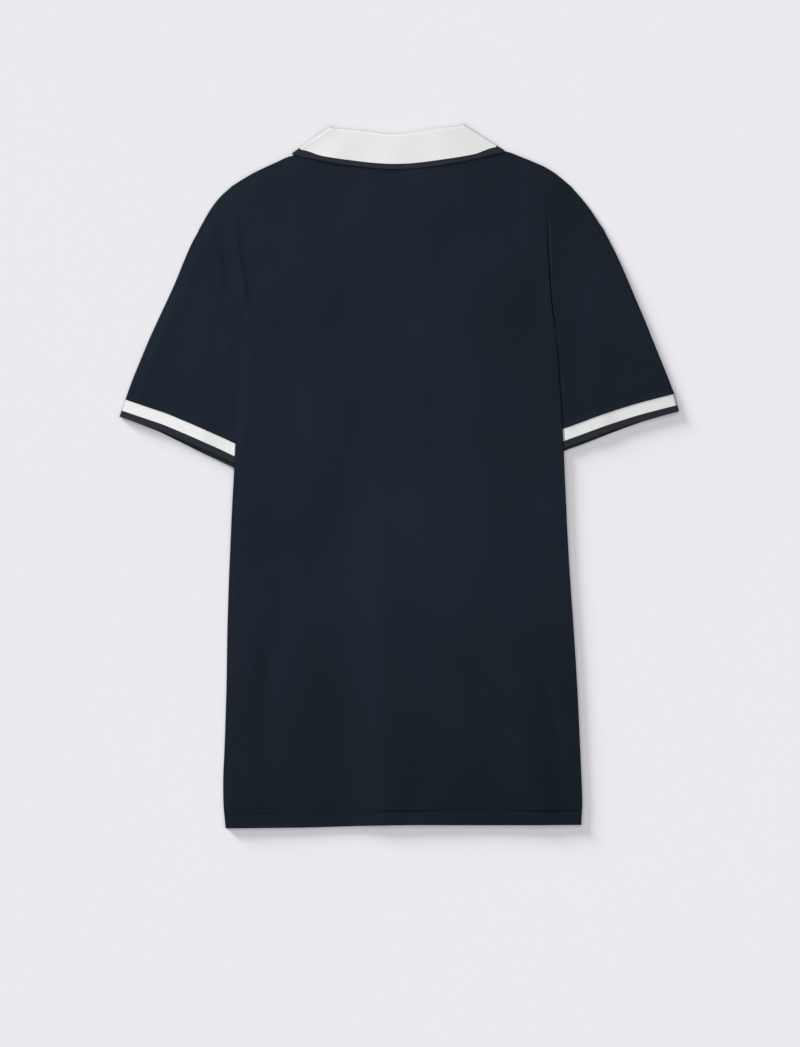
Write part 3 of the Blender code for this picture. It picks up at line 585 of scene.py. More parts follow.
# A cloth's slow waves: sines of seeded directions and phases, whose heights add up to the given one.
def slowWaves(x, y, look):
    chance = np.random.default_rng(look["seed"])
    total = np.zeros(np.broadcast(x, y).shape)
    for length in look["lengths"]:
        turn, phase = chance.uniform(0, 2 * math.pi, 2)
        total += np.sin((x * math.cos(turn) + y * math.sin(turn)) * 2 * math.pi / length + phase)
    return total * look["height"] / len(look["lengths"])


print("back")

backLook = {
    "rowStops": np.array((-372, -359, -353, -30, 6, 7, 159, 160, 180, 262, 309.4)) * mm,
    "rowCounts": (9, 10, 82, 10, 1, 36, 1, 8, 24, 16),
    "innerCells": 30,
    "outerCells": 30,
    "turnCells": 16,
    "flapCells": 14,
    "ramp": (0.3, 0.97),  # of the way to the neck's line, where the sides' two layers ramp in
    # Below the waist: where the left side's ramp runs, where the main fold's crest is at the hem and how it
    # leans, how far its climb is, as what power and how softly it ends, and from where down all this runs in.
    "leftRamp": (-72 * mm, -120 * mm),
    "leftPress": 0.6,
    "crest": (-14 * mm, -0.03),
    "climb": 46 * mm,
    "climbPower": 1.7,
    "climbMost": 3,  # of its runs, from where it starts, beyond which it grows no further
    "climbEnd": 0.06,
    "waist": (70 * mm, -190 * mm),
    "creaseRun": {"left": (9 * mm, 18 * mm), "right": (2.1 * mm, 2.1 * mm)},
    "runShare": 0.9,
    # The right crease is a narrow slit: its depth, the share of its width that a wall takes, where the cloth
    # crosses from one side's level to the other's, and between which heights the slit fades out.
    "slit": {"left": 0.0, "right": 3.3 * mm},
    "slitWall": 0.16,
    "slitCross": (0.25, 0.5),
    "slitFade": (247 * mm, 257 * mm),
    "stub": 8 * mm,
    # The fold's edge rides up over the sleeve: how much, from how far inside the edge, and between which
    # heights.
    "overSleeve": 0.35 * mm,
    "underFold": 0.9 * mm,
    "pressShare": 0.8,
    "overReach": 35 * mm,
    "overRise": (-30 * mm, 8 * mm),
    "overFall": (150 * mm, 190 * mm),
    "foldPress": 0.75,  # the share of the relief that the folded edge takes away
    # The left side rises from its folded edge, where the light catches it: how much, and over which two
    # lengths.
    "sideRise": {"left": 0.6 * mm, "right": 0.0},
    "sideRun": (9 * mm, 55 * mm),
    "sideFade": 40 * mm,
    "lip": {"left": 0.2 * mm, "right": 0.5 * mm},
    "lipHalf": 13 * mm,
    "lipBeside": 0.4,
    # The turned hem: its depth, how much its edge curls up and as what power, and the drop to its stitching.
    # The drop is this deep over this run, its waves have a length, a start and a drift, and a share fades out
    # at the left.
    "hemDepth": 15.6 * mm,
    "hemCurl": 0.5 * mm,
    "hemPower": 1.2,
    "grooveDepth": 0.95 * mm,
    "grooveRun": 2.6 * mm,
    "grooveShare": (0.6, 0.4),
    "grooveBeat": 150 * mm,
    "grooveStart": 10 * mm,
    "grooveDrift": (0.5, 23 * mm),
    "grooveFade": 0.5,
    "grooveEnd": (-60 * mm, -60 * mm),
    # The armhole seam pulls both cloths down beside it.
    "seamHalf": 3.0 * mm,
    "seamDepth": {"left": 0.0, "right": 0.13 * mm},
    "seamFrom": 12 * mm,
    # Broad folds, like waves: left and right are the half widths of their two sides, as seen with the first
    # end uppermost. The rise is a power of the way up, the crest stays level over a share of it, the height
    # swells by a share from a phase, and the ends ease in and out over shares of the length.
    "foldPower": 1.9,
    "foldCrest": 0.12,
    "foldSwell": (0.13, 1.1),
    "foldIn": 0.35,
    "foldOut": (1.12, -0.2),
    "folds": table("x0 y0 x1 y1 left right height beats", [
        (-25, 10, -19, -374, 46, 60, 1.7, 1.3), (112, -150, 152, -372, 46, 30, 1.9, 1.2),
        (-160, -120, -158, -352, 22, 22, 0.6, 1.4), (-177, 284, -164, 190, 20, 6.5, 1.45, 1.1),
        (-204, 278, -188, 205, 14, 8, 0.85, 1.1), (70, 120, 96, -120, 46, 34, 0.9, 1.2)]),
    "creases": table("x0 y0 x1 y1 bow half lean height beats", [
        (142, -165, 182, -350, -3, 11, 0.3, -0.8, 1.4),
        (-136, -150, -146, -330, 3, 25, 0.2, -0.6, 1.5), (-120, -90, -140, -230, -4, 24, 0.2, -0.5, 1.3),
        (39, 262, 18, 166, 2, 3.6, 0.2, 0.24, 1.2), (66, 216, 100, 223, 2, 4.2, 0.3, 0.14, 1.5),
        (76, 166, 102, 171, -2, 4.0, 0.3, 0.12, 1.2), (-2, -84, 92, -80, 3, 4.4, 0.2, 0.12, 1.7),
        (16, -322, 15, -368, 1, 9, 0.2, -0.4, 1.1), (108, 104, 112, -20, 3, 14, 0.2, 0.22, 1.6),
        (-66, 96, -62, 20, -3, 14, 0.2, 0.2, 1.2), (-120, 150, -92, -60, 6, 24, 0.1, -0.35, 1.3),
        (146, 60, 160, -150, 4, 16, 0.2, -0.3, 1.5), (-60, 300, -84, 200, 5, 18, 0.2, -0.25, 1.2),
        (96, 292, 120, 210, -6, 18, 0.2, 0.25, 1.3)]),
    "waves": {"seed": 4, "height": 0.4 * mm, "lengths": np.array((61, 83, 104, 137, 171)) * mm},
}


# How high the back's folds stand over its smooth form. Across a broad fold the height grows as a power of the
# way up its rising side and then eases down its falling side; it swells and thins along it and eases in at
# both ends.
def backRelief(x, y):
    look = backLook
    total = np.zeros(np.broadcast(x, y).shape)
    for x0, y0, x1, y1, left, right, height, beats in zip(*look["folds"].values()):
        at, off = besideLine(x, y, x0, y0, x1, y1)
        rising = np.clip(1 - off / left, 0, 1) ** look["foldPower"]
        level = look["foldCrest"] * left
        falling = 1 - ease((level - off) / (right + level))
        swell = 1 + look["foldSwell"][0] * np.sin(at * beats / mm * 2 * math.pi + look["foldSwell"][1])
        ends = ease(at / look["foldIn"]) * progress(at, *look["foldOut"])
        total += height * swell * ends * rising * falling
    return total + creaseHeight(x, y, look["creases"]) + slowWaves(x, y, look["waves"])


# How far the seams of the shoulders and armholes hold the cloth up, outside the collar.
def shoulderLoft(x, y):
    look = body["loft"]
    return look["height"] * progress(np.abs(x), *look["across"]) * progress(y, *look["along"])


# How much of the sides' two layers is left at a height of the shoulder: it falls to none at the crease's top.
def creaseFade(y):
    return 1 - between(y, (body["foldTop"], body["creaseTop"]))


# The level of the back at its armhole's edge, which the sleeve's upper layer starts from.
def armholeLevel(x, y):
    level = baseLevel + layers["step"] * (1 + 2 * creaseFade(y)) + backLift(x, y) + backRelief(x, y)
    return level + shoulderLoft(x, y) - outerDrop(x, y)


# How much the cloth falls to the outline of the left sleeve and the shoulders, over a distance from it.
def outerDrop(x, y):
    look = body["drop"]
    outerX = np.where(y < body["sleeveEdge"]["y"][-1], bodyLine("sleeveEdge", y, "left"),
                      bodyLine("shoulderEnd", y, "left"))
    away = np.minimum(x - outerX, upperEdge(x, "backNeck") - y) * look["slant"]
    return look["height"] * (1 - progress(x, *look["across"])) * (1 - ease(away / look["reach"]))


# What the hem adds: an uneven drop to its stitching, and from there a climb to its edge, which curls up.
def hemHeight(x, y, look):
    above = y - bodyLine("hemEdge", x, "y")
    drift = look["grooveDrift"][0] * np.sin(x / look["grooveDrift"][1])
    uneven = look["grooveShare"][0] + look["grooveShare"][1] * np.cos(
        (x - look["grooveStart"]) * 2 * math.pi / look["grooveBeat"] + drift)
    drop = look["grooveDepth"] * uneven * (1 - look["grooveFade"] * progress(x, *look["grooveEnd"]))
    below = ease((look["hemDepth"] + look["grooveRun"] / 2 - above) / look["grooveRun"])
    climb = np.clip((look["hemDepth"] - mm - above) / (look["hemDepth"] - mm), 0, 1) ** look["hemPower"]
    return -drop * below + (drop + look["hemCurl"]) * climb


# How much of the sides' two layers lifts the back, from 0 to 1. Above the waist it ramps in evenly towards
# both sides. Below, it ramps in at the left, and the right half is all raised as far as the main fold's
# crest, up to which it climbs as a power of the way, cut off at 1 by half of (a + 1 - root of their squared
# difference).
def sideLevel(x, y, share):
    look = backLook
    left = between(x, look["leftRamp"]) * (1 - look["leftPress"] * pressedFlat(y, "left"))
    crest = look["crest"][0] + look["crest"][1] * (y - body["hem"])
    climb = np.clip((x - crest + look["climb"]) / look["climb"], 0, look["climbMost"]) ** look["climbPower"]
    climb = (climb + 1 - np.sqrt((climb - 1) ** 2 + look["climbEnd"])) / 2
    below = progress(y, *look["waist"])
    return between(share, look["ramp"]) * (1 - below) + np.maximum(left, climb) * below


# One side of the back, its rows at the heights y, from the middle outwards: the level of the cloth is the
# solid's, a base plus two layers that ramp in towards the side, plus what lies under it and its relief. Below
# it goes round the fold on a half circle and in again; beside the armhole it steps down over the crease
# instead.
def backHalf(y, side, look):
    out = outward[side]
    edge = edgeAt(y, side)
    folded = y < body["creaseFrom"] - mm / 2
    creased = y > body["creaseFrom"] + mm / 2
    neck = bodyLine("neckLine", y, side)
    crease = np.where(creased, bodyLine("crease", y, side), edge - out * foldReach * folded)
    inner = np.linspace(0, 1, look["innerCells"] + 1)[1:]
    x = np.concatenate([neck * inner, neck + (crease - neck) * narrowing(look["outerCells"])], axis=1)
    raised = sideLevel(x, y, np.concatenate([inner, np.ones(look["outerCells"])]))
    planY = rowHeight(x, y)
    inside = np.abs(crease - x)
    near = ease(1 - inside / look["overReach"])
    riding = between(y, look["overRise"]) * (1 - between(y, look["overFall"]))
    lipFade = 1 - between(y, (body["stepEnd"], body["creaseTop"]))
    z = baseLevel + layers["step"] * (1 + 2 * raised * creaseFade(planY)) + backLift(x, planY)
    z = z + look["lip"][side] * bump(x - crease, look["lipHalf"]) * creased * lipFade
    z += look["overSleeve"] * riding * near
    z += (backRelief(x, planY) * (1 - look["foldPress"] * near * folded) + hemHeight(x, planY, look)
          + hemLift(y, raised))
    z += shoulderLoft(x, planY) - outerDrop(x, planY)
    z += (look["sideRise"][side] * progress(y, body["creaseFrom"], -look["sideFade"])
          * ease(inside / look["sideRun"][0]) * (1 - progress(inside, *look["sideRun"])))
    # The turn, from the side's last place over to the flap's first.
    angles = halfTurn(look["turnCells"])
    steps = angles / math.pi
    pressed = look["pressShare"] * pressedFlat(y, side)
    low = baseLevel + layers["step"] * (2 - pressed) + look["underFold"] * riding
    radius = (z[:, -1:] - low) / 2
    inward = np.linspace(0, 1, look["flapCells"] + 1)
    run = through(y, np.array((body["foldTop"], body["armhole"]["y"][-1])), np.array(look["creaseRun"][side]))
    run = np.minimum(run, np.abs(edge - crease) * look["runShare"])
    turnX = np.where(creased, crease + out * run * steps, crease + out * radius * np.sin(angles) * folded)
    flapX = np.where(creased, crease + out * run + (edge - crease - out * run) * inward,
                     crease - out * foldWidth(y, edge, look["stub"]) * inward * folded)
    flapY = rowHeight(flapX, y)
    seam = (look["seamDepth"][side] * bump(flapX - edge, look["seamHalf"])
            * progress(y, body["foldTop"], look["seamFrom"]))
    slit = look["slit"][side] * (1 - between(y, look["slitFade"]))
    beside = (look["lipBeside"] * look["lip"][side] * bump(flapX - crease, look["lipHalf"])
              * (slit > 0) * lipFade)
    flapZ = np.where(creased, armholeLevel(flapX, flapY) + beside - seam, np.where(folded, low, z[:, -1:]))
    across = np.where(slit > 0, progress(steps, *look["slitCross"]), ease(steps))
    walls = ease(steps / look["slitWall"]) * ease((1 - steps) / look["slitWall"])
    firstRelief, lastRelief = backRelief(x[:, -1:], planY[:, -1:]), backRelief(flapX[:, :1], flapY[:, :1])
    folds = backRelief(turnX, rowHeight(turnX, y)) - firstRelief
    folds = folds - (lastRelief - firstRelief) * across
    turnZ = np.where(creased, z[:, -1:] + (flapZ[:, :1] - z[:, -1:]) * across + folds - slit * walls,
                     np.where(folded, low + radius + radius * np.cos(angles), z[:, -1:]))
    x = np.concatenate([x, turnX, flapX], axis=1)
    return np.stack([x, rowHeight(x, y), np.concatenate([z, turnZ, flapZ], axis=1)], axis=-1)


# The whole back: its left half turned round, the column of points in its middle and its right half. Above and
# below the row where the fold ends, and beside the sleeve, cells of its turned sides are left out.
def backPanel(look):
    y = spaced(look["rowStops"], look["rowCounts"])[:, None]
    middleX = np.zeros_like(y)
    middleY = rowHeight(middleX, y)
    raised = sideLevel(middleX, y, 0)
    middleZ = baseLevel + layers["step"] * (1 + 2 * raised) + backLift(middleX, middleY)
    middleZ = middleZ + backRelief(middleX, middleY) + hemLift(y, raised)
    middle = np.stack([middleX, middleY, middleZ + hemHeight(middleX, middleY, look)], axis=-1)
    points = np.concatenate([backHalf(y, "left", look)[:, ::-1], middle, backHalf(y, "right", look)], axis=1)
    keep = np.ones((points.shape[0] - 1, points.shape[1] - 1), bool)
    lower, upper = y[:-1, 0], y[1:, 0]
    creaseFrom = body["creaseFrom"] - mm / 2
    cutSides(keep, (upper > creaseFrom) & (lower < creaseFrom), look["turnCells"] + look["flapCells"])
    cutSides(keep, (lower > body["foldEnd"] + mm / 2) & (upper < creaseFrom), look["flapCells"])
    return clothMesh("backCloth", points, navyJersey, layers["cloth"], keep=keep)


tellFrame(backPanel(backLook), "back_panel")

print("front")

frontLook = {
    "rowStops": np.array((-372, -366, -352, -30, 6, 7, 134, 262, 309.4)) * mm,
    "rowCounts": (5, 5, 60, 8, 1, 26, 40, 16),
    "innerCells": 28,
    "outerCells": 24,
    "turnCells": 8,
    "flapCells": 8,
    "pressShare": 0.4,
}


# One side of the front, from the placket's slot outwards. It lies on the table and on what is under it, and
# below the sleeve it goes round the fold on a half circle and in again.
def frontHalf(y, side, look):
    out = outward[side]
    edge = edgeAt(y, side)
    neck = bodyLine("neckLine", y, side)
    end = edge - out * foldReach * (y < body["foldEnd"] + mm / 2)
    first = out * (lifts["placketHalf"] + layers["gap"])
    inner = np.linspace(0, 1, look["innerCells"] + 1)
    outer = narrowing(look["outerCells"])
    x = np.concatenate([first + (neck - first) * inner, neck + (end - neck) * outer], axis=1)
    z = baseLevel + frontLift(x, rowHeight(x, y, "frontNeck"))
    angles = halfTurn(look["turnCells"])
    radius = layers["step"] / 2
    turnX = end + out * radius * np.sin(angles)
    radius = radius * (1 - look["pressShare"] * pressedFlat(y, side))
    turnZ = baseLevel + radius - radius * np.cos(angles)
    flapX = end - out * foldWidth(y, edge, body["stub"]) * np.linspace(0, 1, look["flapCells"] + 1)
    x = np.concatenate([x, turnX, flapX], axis=1)
    z = np.concatenate([z, turnZ, baseLevel + 2 * radius + 0 * flapX], axis=1)
    return np.stack([x, rowHeight(x, y, "frontNeck"), z], axis=-1)


# The whole front, open in the placket's slot, its folded sides only below the sleeves.
def frontPanel(look):
    y = spaced(look["rowStops"], look["rowCounts"])[:, None]
    points = np.concatenate([frontHalf(y, "left", look)[:, ::-1], frontHalf(y, "right", look)], axis=1)
    keep = np.ones((points.shape[0] - 1, points.shape[1] - 1), bool)
    cutSides(keep, y[1:, 0] > body["foldEnd"] + mm / 2, look["turnCells"] + look["flapCells"])
    keep[y[:-1, 0] > body["bendFrom"] - mm / 2, points.shape[1] // 2 - 1] = False
    return clothMesh("frontCloth", points, navyJersey, layers["cloth"], keep=keep)


tellFrame(frontPanel(frontLook), "front_panel")

print("sleeves and cuffs")

sleeveLook = {
    "rings": 72,
    "seamColumns": 7,  # tenths of the width that start at the armhole's seam, the rest inside the body
    # The columns stand close together beside the body's fold: parts of the width, and the cells between them.
    "across": ((0, 0.66, 0.77, 1), (56, 50, 20)),
    "turnCells": 8,
    "insetColumns": 6,
    # How much fuller the outer folded edge and the cuff's end are than the layers alone: up to these parts of
    # the width, and between these parts of the length.
    "loft": {"left": (1.4 * mm, 3.3 * mm), "right": (3.4 * mm, 2.9 * mm)},
    "loftFade": (0.05, 0.75),
    "loftDown": (0.35, 0.9),
    "loftBeside": 54 * mm,
    "fromSeam": 60 * mm,
    # Beside the body's fold the upper layer stands up: how high, from how far off and how far.
    "beside": {"left": 1.2 * mm, "right": 1.55 * mm},
    "besideFrom": {"left": -0.9 * mm, "right": 0.85 * mm},
    "besideRise": 0.55 * mm,
    "besideFade": {"left": 45 * mm, "right": 26 * mm},
    "seamOffset": 0.04 * mm,
    "puff": 1.0 * mm,
    # The folds fade out towards the two seams, the outer edge and the body, and the armhole's level at its
    # end.
    "foldFade": {"seams": 0.08, "edge": 0.06, "body": 0.12},
    "levelEnd": (0.97, 0.03),
    "overBody": (30 * mm, 30 * mm),
    "overArmhole": (5 * mm, 33 * mm),
    "hiddenShare": 8 / 11,  # of the width, what the armhole seam takes; the rest is under the back
    # The seam to the cuff stands up in a narrow band, and the armhole seam sinks.
    "bandDepth": 4.2 * mm,
    "bandRaise": 0.5 * mm,
    "bandRun": 1.2 * mm,
    "seamHalf": 3.0 * mm,
    "seamDepth": {"left": 0.0, "right": 0.11 * mm},
    "seamRows": np.array((262, 251, 238, 222, 205, 190, 177, 167)) * mm,
    "hidden": table("x y", [(155, 150), (141, 128), (128, 108)]),
    "creases": {
        "left": table("x0 y0 x1 y1 bow half lean height beats", [
            (-192, 196, -214, 60, -6, 20, 0.2, -0.4, 1.3), (-232, 236, -262, 96, 5, 20, 0.3, 0.4, 1.2),
            (-178, 160, -186, 60, 3, 12, 0.2, 0.25, 1.6), (-206, 226, -238, 150, -4, 14, 0.3, -0.25, 1.1)]),
        "right": table("x0 y0 x1 y1 bow half lean height beats", [
            (190, 210, 208, 66, 5, 20, 0.2, 0.05, 1.2), (214, 216, 240, 84, -4, 20, 0.3, -0.12, 1.4),
            (236, 206, 268, 110, 3, 17, 0.3, 0.2, 1.2), (178, 150, 184, 66, -3, 12, 0.2, -0.2, 1.5)])},
    "waves": {"seed": 9, "height": 0.25 * mm, "lengths": np.array((57, 74, 96)) * mm},
}
cuffLook = {
    "white": 12.3 * mm,
    "tip": 6.8 * mm,
    # How far the lower layer slips down, and the shares of the width over which that grows and falls again.
    "slip": {"left": 4.5 * mm, "right": 3.0 * mm},
    "slipRise": 0.65,
    "slipFall": 0.25,
    "inset": 0.1 * mm,  # between the white and its seams
    "rows": 9,
    "visible": 0.7,  # of the width, what shows beside the body
    "line": {
        "left": table("x y", [
            (-292.4, 82.6), (-265.7, 73.5), (-246.5, 66.9), (-233.8, 61.6), (-221, 56.2), (-201.8, 47.7),
            (-189, 42.0), (-175.8, 35.8), (-132, 14)]),
        "right": table("x y", [
            (292.2, 88.6), (271, 83.2), (251.9, 78.1), (232.7, 72.2), (213.5, 65.8), (194.4, 58.8),
            (181.6, 54.1), (174.6, 51.6), (132, 35)])},
}


sleeveAcross = spaced(np.array(sleeveLook["across"][0], float), sleeveLook["across"][1])


# Unit vectors square to a line at its points, on the side that `away` points to.
def squareTo(line, away):
    along = np.gradient(line, axis=0)
    normal = np.stack([-along[:, 1], along[:, 0]], axis=1) / np.linalg.norm(along, axis=1)[:, None]
    return normal * np.sign(normal @ np.array(away, float))[:, None]


# Unit vectors that point outwards at the two ends of a line.
def lineEnds(line):
    first, last = line[0] - line[1], line[-1] - line[-2]
    return first / np.linalg.norm(first), last / np.linalg.norm(last)


# The seam of a cuff at the columns' places, from its outer end to its end inside the body, and the way down
# from it.
def cuffSeam(side):
    line = cuffLook["line"][side]
    order = np.argsort(line["x"])
    x = np.interp(sleeveAcross, (0, cuffLook["visible"], 1), line["x"][[0, -2, -1]])
    seam = np.stack([x, through(x, line["x"][order], line["y"][order])], axis=1)
    return seam, squareTo(seam, (0, -1))


# How much of its slip each place across the lower layer has: none at either folded edge.
slipShare = ease(sleeveAcross / cuffLook["slipRise"]) * ease((1 - sleeveAcross) / cuffLook["slipFall"])
slipShare = slipShare[:, None]


# How far outside the body's folded side a place is.
def pastFold(x, y, side):
    return outward[side] * (x - edgeAt(np.minimum(y, body["foldTop"] - layers["gap"]), side))


# 1 where a sleeve lies over the front and just outside it, 0 where it lies on the table.
def overBody(x, y, side):
    beside = 1 - progress(pastFold(x, y, side), *sleeveLook["overBody"])
    return beside * (1 - progress(y - body["foldTop"], *sleeveLook["overArmhole"]))


# Closed loops round a flattened tube: the upper layer, a half circle down round its folded edge, the lower
# layer and the other half circle up. The lines' ends are drawn in so that the half circles end where `plan`
# does, and the next columns share that. `plan` holds the lines across it, `ways` the outward directions at
# its two edges, `relief` what the upper layer's folds add, and `seamLevel` a level that it takes up instead
# and to what share.
def tubeLoops(plan, ways, slip, side, relief, seamLevel=None):
    low = plan + slip
    lowZ = baseLevel + layers["step"] * overBody(low[..., 0], low[..., 1], side)
    highZ = baseLevel + layers["step"] * (1 + overBody(plan[..., 0], plan[..., 1], side)) + relief
    if seamLevel is not None:
        level, share = seamLevel
        highZ = highZ * (1 - share) + level * share
    reach = (highZ - lowZ)[:, [0, -1], None] / 2 + layers["wall"] / 2
    inset = np.clip(1 - np.arange(plan.shape[1]) / sleeveLook["insetColumns"], 0, 1)[None, :, None]
    drawn = ways[0][:, None] * reach[:, :1] * inset + ways[1][:, None] * reach[:, 1:] * inset[:, ::-1]
    plan, low = plan - drawn, low - drawn
    upper = np.concatenate([plan, highZ[..., None]], axis=-1)
    lower = np.concatenate([low, lowZ[..., None]], axis=-1)
    angles = halfTurn(sleeveLook["turnCells"])[None, :, None]
    loops = []
    for start, end, way in ((upper[:, -1], lower[:, -1], ways[1]), (lower[:, 0], upper[:, 0], ways[0])):
        centre, half = ((start + end) / 2)[:, None], ((start - end) / 2)[:, None]
        bulge = np.concatenate([way, np.zeros((len(way), 1))], axis=1)[:, None] * np.abs(half[..., 2:])
        loops.append(centre + half * np.cos(angles) + bulge * np.sin(angles))
    return np.concatenate([upper, loops[0], lower[:, ::-1], loops[1]], axis=1)


# A sleeve's lines across, from the armhole seam to the cuff's. Each line is the blend of its four borders
# that a ruled patch makes: the two ruled surfaces added, less the one through the four corners.
def sleevePlan(side):
    out, look = outward[side], sleeveLook
    steps, last = sleeveAcross * 10, look["seamColumns"]
    seamY = through(np.minimum(steps, last), np.arange(last + 1.0), look["seamRows"])
    seam = np.stack([bodyLine("armhole", seamY, side), seamY], axis=1)
    seam = seam + squareTo(seam + np.stack([0 * steps, -np.maximum(steps - last, 0) * mm], axis=1),
                           (out, -0.5)) * look["seamOffset"]
    hiddenX = np.concatenate([[bodyLine("armhole", body["foldTop"], side)], out * look["hidden"]["x"]])
    hiddenY = np.concatenate([[body["foldTop"]], look["hidden"]["y"]])
    hidden = np.stack([np.interp(steps, last + np.arange(4.0), line) for line in (hiddenX, hiddenY)], axis=1)
    start = np.where(steps[:, None] > last, hidden, seam)
    end, down = cuffSeam(side)
    part = np.linspace(0, 1, look["rings"])[:, None]
    edgeY = start[0, 1] + (end[0, 1] - start[0, 1]) * part
    near = np.concatenate([bodyLine("sleeveEdge", edgeY, side), edgeY], axis=1)
    near[0], near[-1] = start[0], end[0]
    far = start[-1] + (end[-1] - start[-1]) * part
    v = part[:, :, None]
    u = sleeveAcross[None, :, None]
    ruled = (1 - v) * start + v * end + (1 - u) * near[:, None] + u * far[:, None]
    corners = (1 - v) * ((1 - u) * start[0] + u * start[-1]) + v * ((1 - u) * end[0] + u * end[-1])
    return ruled - corners, near, far, down, v[..., 0], u[..., 0]


# How much fuller a sleeve is than its layers alone: along its outer edge and, towards the cuff, over all its
# width. Close beside the body's fold it is drawn up to the fold's top instead. `part` is the place across,
# `down` along.
def sleeveFullness(x, y, part, down, side):
    look = sleeveLook
    off = pastFold(x, y, side)
    alongEdge = look["loft"][side][0] * (1 - between(part, look["loftFade"]))
    atCuff = between(down, look["loftDown"])
    fuller = (alongEdge * (1 - atCuff) + look["loft"][side][1] * atCuff) * ease(off / look["loftBeside"])
    away = off - look["besideFrom"][side]
    rise = ease(away / look["besideRise"])
    rise = rise * (1 - progress(away, look["besideRise"], look["besideFade"][side]))
    return fuller + look["beside"][side] * rise


def sleevePiece(side):
    look = sleeveLook
    plan, near, far, down, v, u = sleevePlan(side)
    x, y = plan[..., 0], plan[..., 1]
    nearWays, farWays = squareTo(near, (outward[side], 1)), squareTo(far, (-outward[side], 0))
    nearWays[0] = lineEnds(plan[0])[0]
    nearWays[-1], farWays[-1] = lineEnds(plan[-1])
    slip = down[None] * cuffLook["slip"][side] * slipShare[None] * ease(v)[..., None]
    shown = np.clip(u / look["hiddenShare"], 0, 1)
    relief = look["puff"] * np.sin(shown * math.pi) ** 2 * np.sin(v * math.pi)
    folds = creaseHeight(x, y, look["creases"][side]) + slowWaves(x, y, look["waves"])
    fade = look["foldFade"]
    relief = relief + (folds * ease(v / fade["seams"]) * ease((1 - v) / fade["seams"])
                       * ease(u / fade["edge"]) * ease((1 - shown) / fade["body"]))
    length = np.linalg.norm(plan[-1] - plan[0], axis=1)[None]
    relief = relief + look["bandRaise"] * ease((look["bandDepth"] - (1 - v) * length) / look["bandRun"])
    relief = relief - look["seamDepth"][side] * bump(v * length, look["seamHalf"]) * (shown < 1)
    relief = relief + sleeveFullness(x, y, u, v, side) * (shown < 1) - outerDrop(x, y)
    share = (1 - ease(v * length / look["fromSeam"])) * (1 - progress(shown, *look["levelEnd"]))
    loops = tubeLoops(plan, (nearWays, farWays), slip, side, relief, (armholeLevel(x, y), share))
    piece = clothMesh(f"{side}SleeveCloth", loops, navyJersey, layers["cloth"], ring=True)
    tellFrame(piece, f"sleeve_{side}")


# A band of a cuff between two distances below its seam.
def cuffPiece(side, name, node, first, last, mat):
    seam, down = cuffSeam(side)
    plan = seam[None] + down[None] * np.linspace(first, last, cuffLook["rows"])[:, None, None]
    slip = (down * cuffLook["slip"][side] * slipShare)[None]
    ways = [np.repeat(way[None], cuffLook["rows"], axis=0) for way in lineEnds(seam)]
    x, y = plan[..., 0], plan[..., 1]
    relief = sleeveFullness(x, y, sleeveAcross[None], 1.0, side) - outerDrop(x, y)
    loops = tubeLoops(plan, ways, slip, side, relief)
    piece = clothMesh(f"{side}{name}", loops, mat, layers["cloth"], ring=True)
    tellFrame(piece, f"{node}_{side}")


cuffEnd = cuffLook["white"] + layers["gap"]
for side in ("left", "right"):
    sleevePiece(side)
    cuffPiece(side, "CuffRib", "cuff", cuffLook["inset"], cuffEnd - cuffLook["inset"], whiteRib)
    cuffPiece(side, "CuffTip", "cuff_tipping", cuffEnd, cuffEnd + cuffLook["tip"], navyRib)

print("collar")

columns = "rollX rollY seamX seamY edgeX edgeY"
collarLook = {
    "standRadius": 0.8 * mm,
    "rollRadius": 1.15 * mm,
    "pressing": 0.36,
    "tipping": 5.3 * mm,
    "tippingEnds": 4.4 * mm,  # how much wider at the two shoulder ends, and over what length
    "tippingRun": 30 * mm,
    "frontCells": 22,
    "backCells": 64,
    "sideCells": 12,
    "rollCells": 10,
    "leafCells": 14,
    "standCells": 5,
    "tipCells": 4,
    "overlap": 0.05 * mm,  # how far the white goes in under the tipping, and the tipping over the white
    # At the back the leaf settles evenly down to its free edge, which is slightly wavy.
    "settle": 1.25 * mm,
    "settleEnds": (0.4 * mm, 60 * mm),  # how much more at the two shoulder ends, and over what length
    "wave": 0.25 * mm,
    "waveLength": 61 * mm,
    "left": table(columns, [
        (-4, 287, -4, 275.6, -42, 226), (-29, 297.5, -35.4, 283.9, -71, 249),
        (-50, 315, -59.2, 299.4, -94, 277), (-64, 338, -76.0, 322.6, -107, 310),
        (-73, 369.5, -85.3, 355.5, -113.6, 342.5)]),
    "back": table(columns, [
        (-73, 369.5, -85.3, 355.5, -113.6, 342.5), (-46, 367.3, -54, 340.6, -60, 332.3),
        (-3.5, 363, -3, 334.0, -3, 327.3), (41, 369.5, 48, 341.3, 57, 333.9),
        (65.8, 371.8, 80.3, 357.7, 110.2, 345.5)]),
    "right": table(columns, [
        (65.8, 371.8, 80.3, 357.7, 110.2, 345.5), (59.5, 340, 72.5, 323.6, 103, 312),
        (48.5, 316, 57.7, 300.4, 92, 278), (28.5, 298, 35.4, 283.9, 70, 249.5),
        (4, 287, 4, 275.6, 42, 226)]),
}
leafRadius = collarLook["standRadius"] + 2 * collarLook["rollRadius"]
neckMiddle = layers["solidRib"] / 2 + leafRadius


# Sections of the collar between the rows of one table, evenly spaced along it.
def collarStations(key, count):
    rows = len(collarLook[key]["rollX"])
    at = np.linspace(0, rows - 1, count + 1)
    stations = {name: through(at, np.arange(float(rows)), column) for name, column in collarLook[key].items()}
    lines = ("roll", "seam", "edge")
    return [np.stack([stations[line + "X"], stations[line + "Y"]], axis=1) for line in lines]


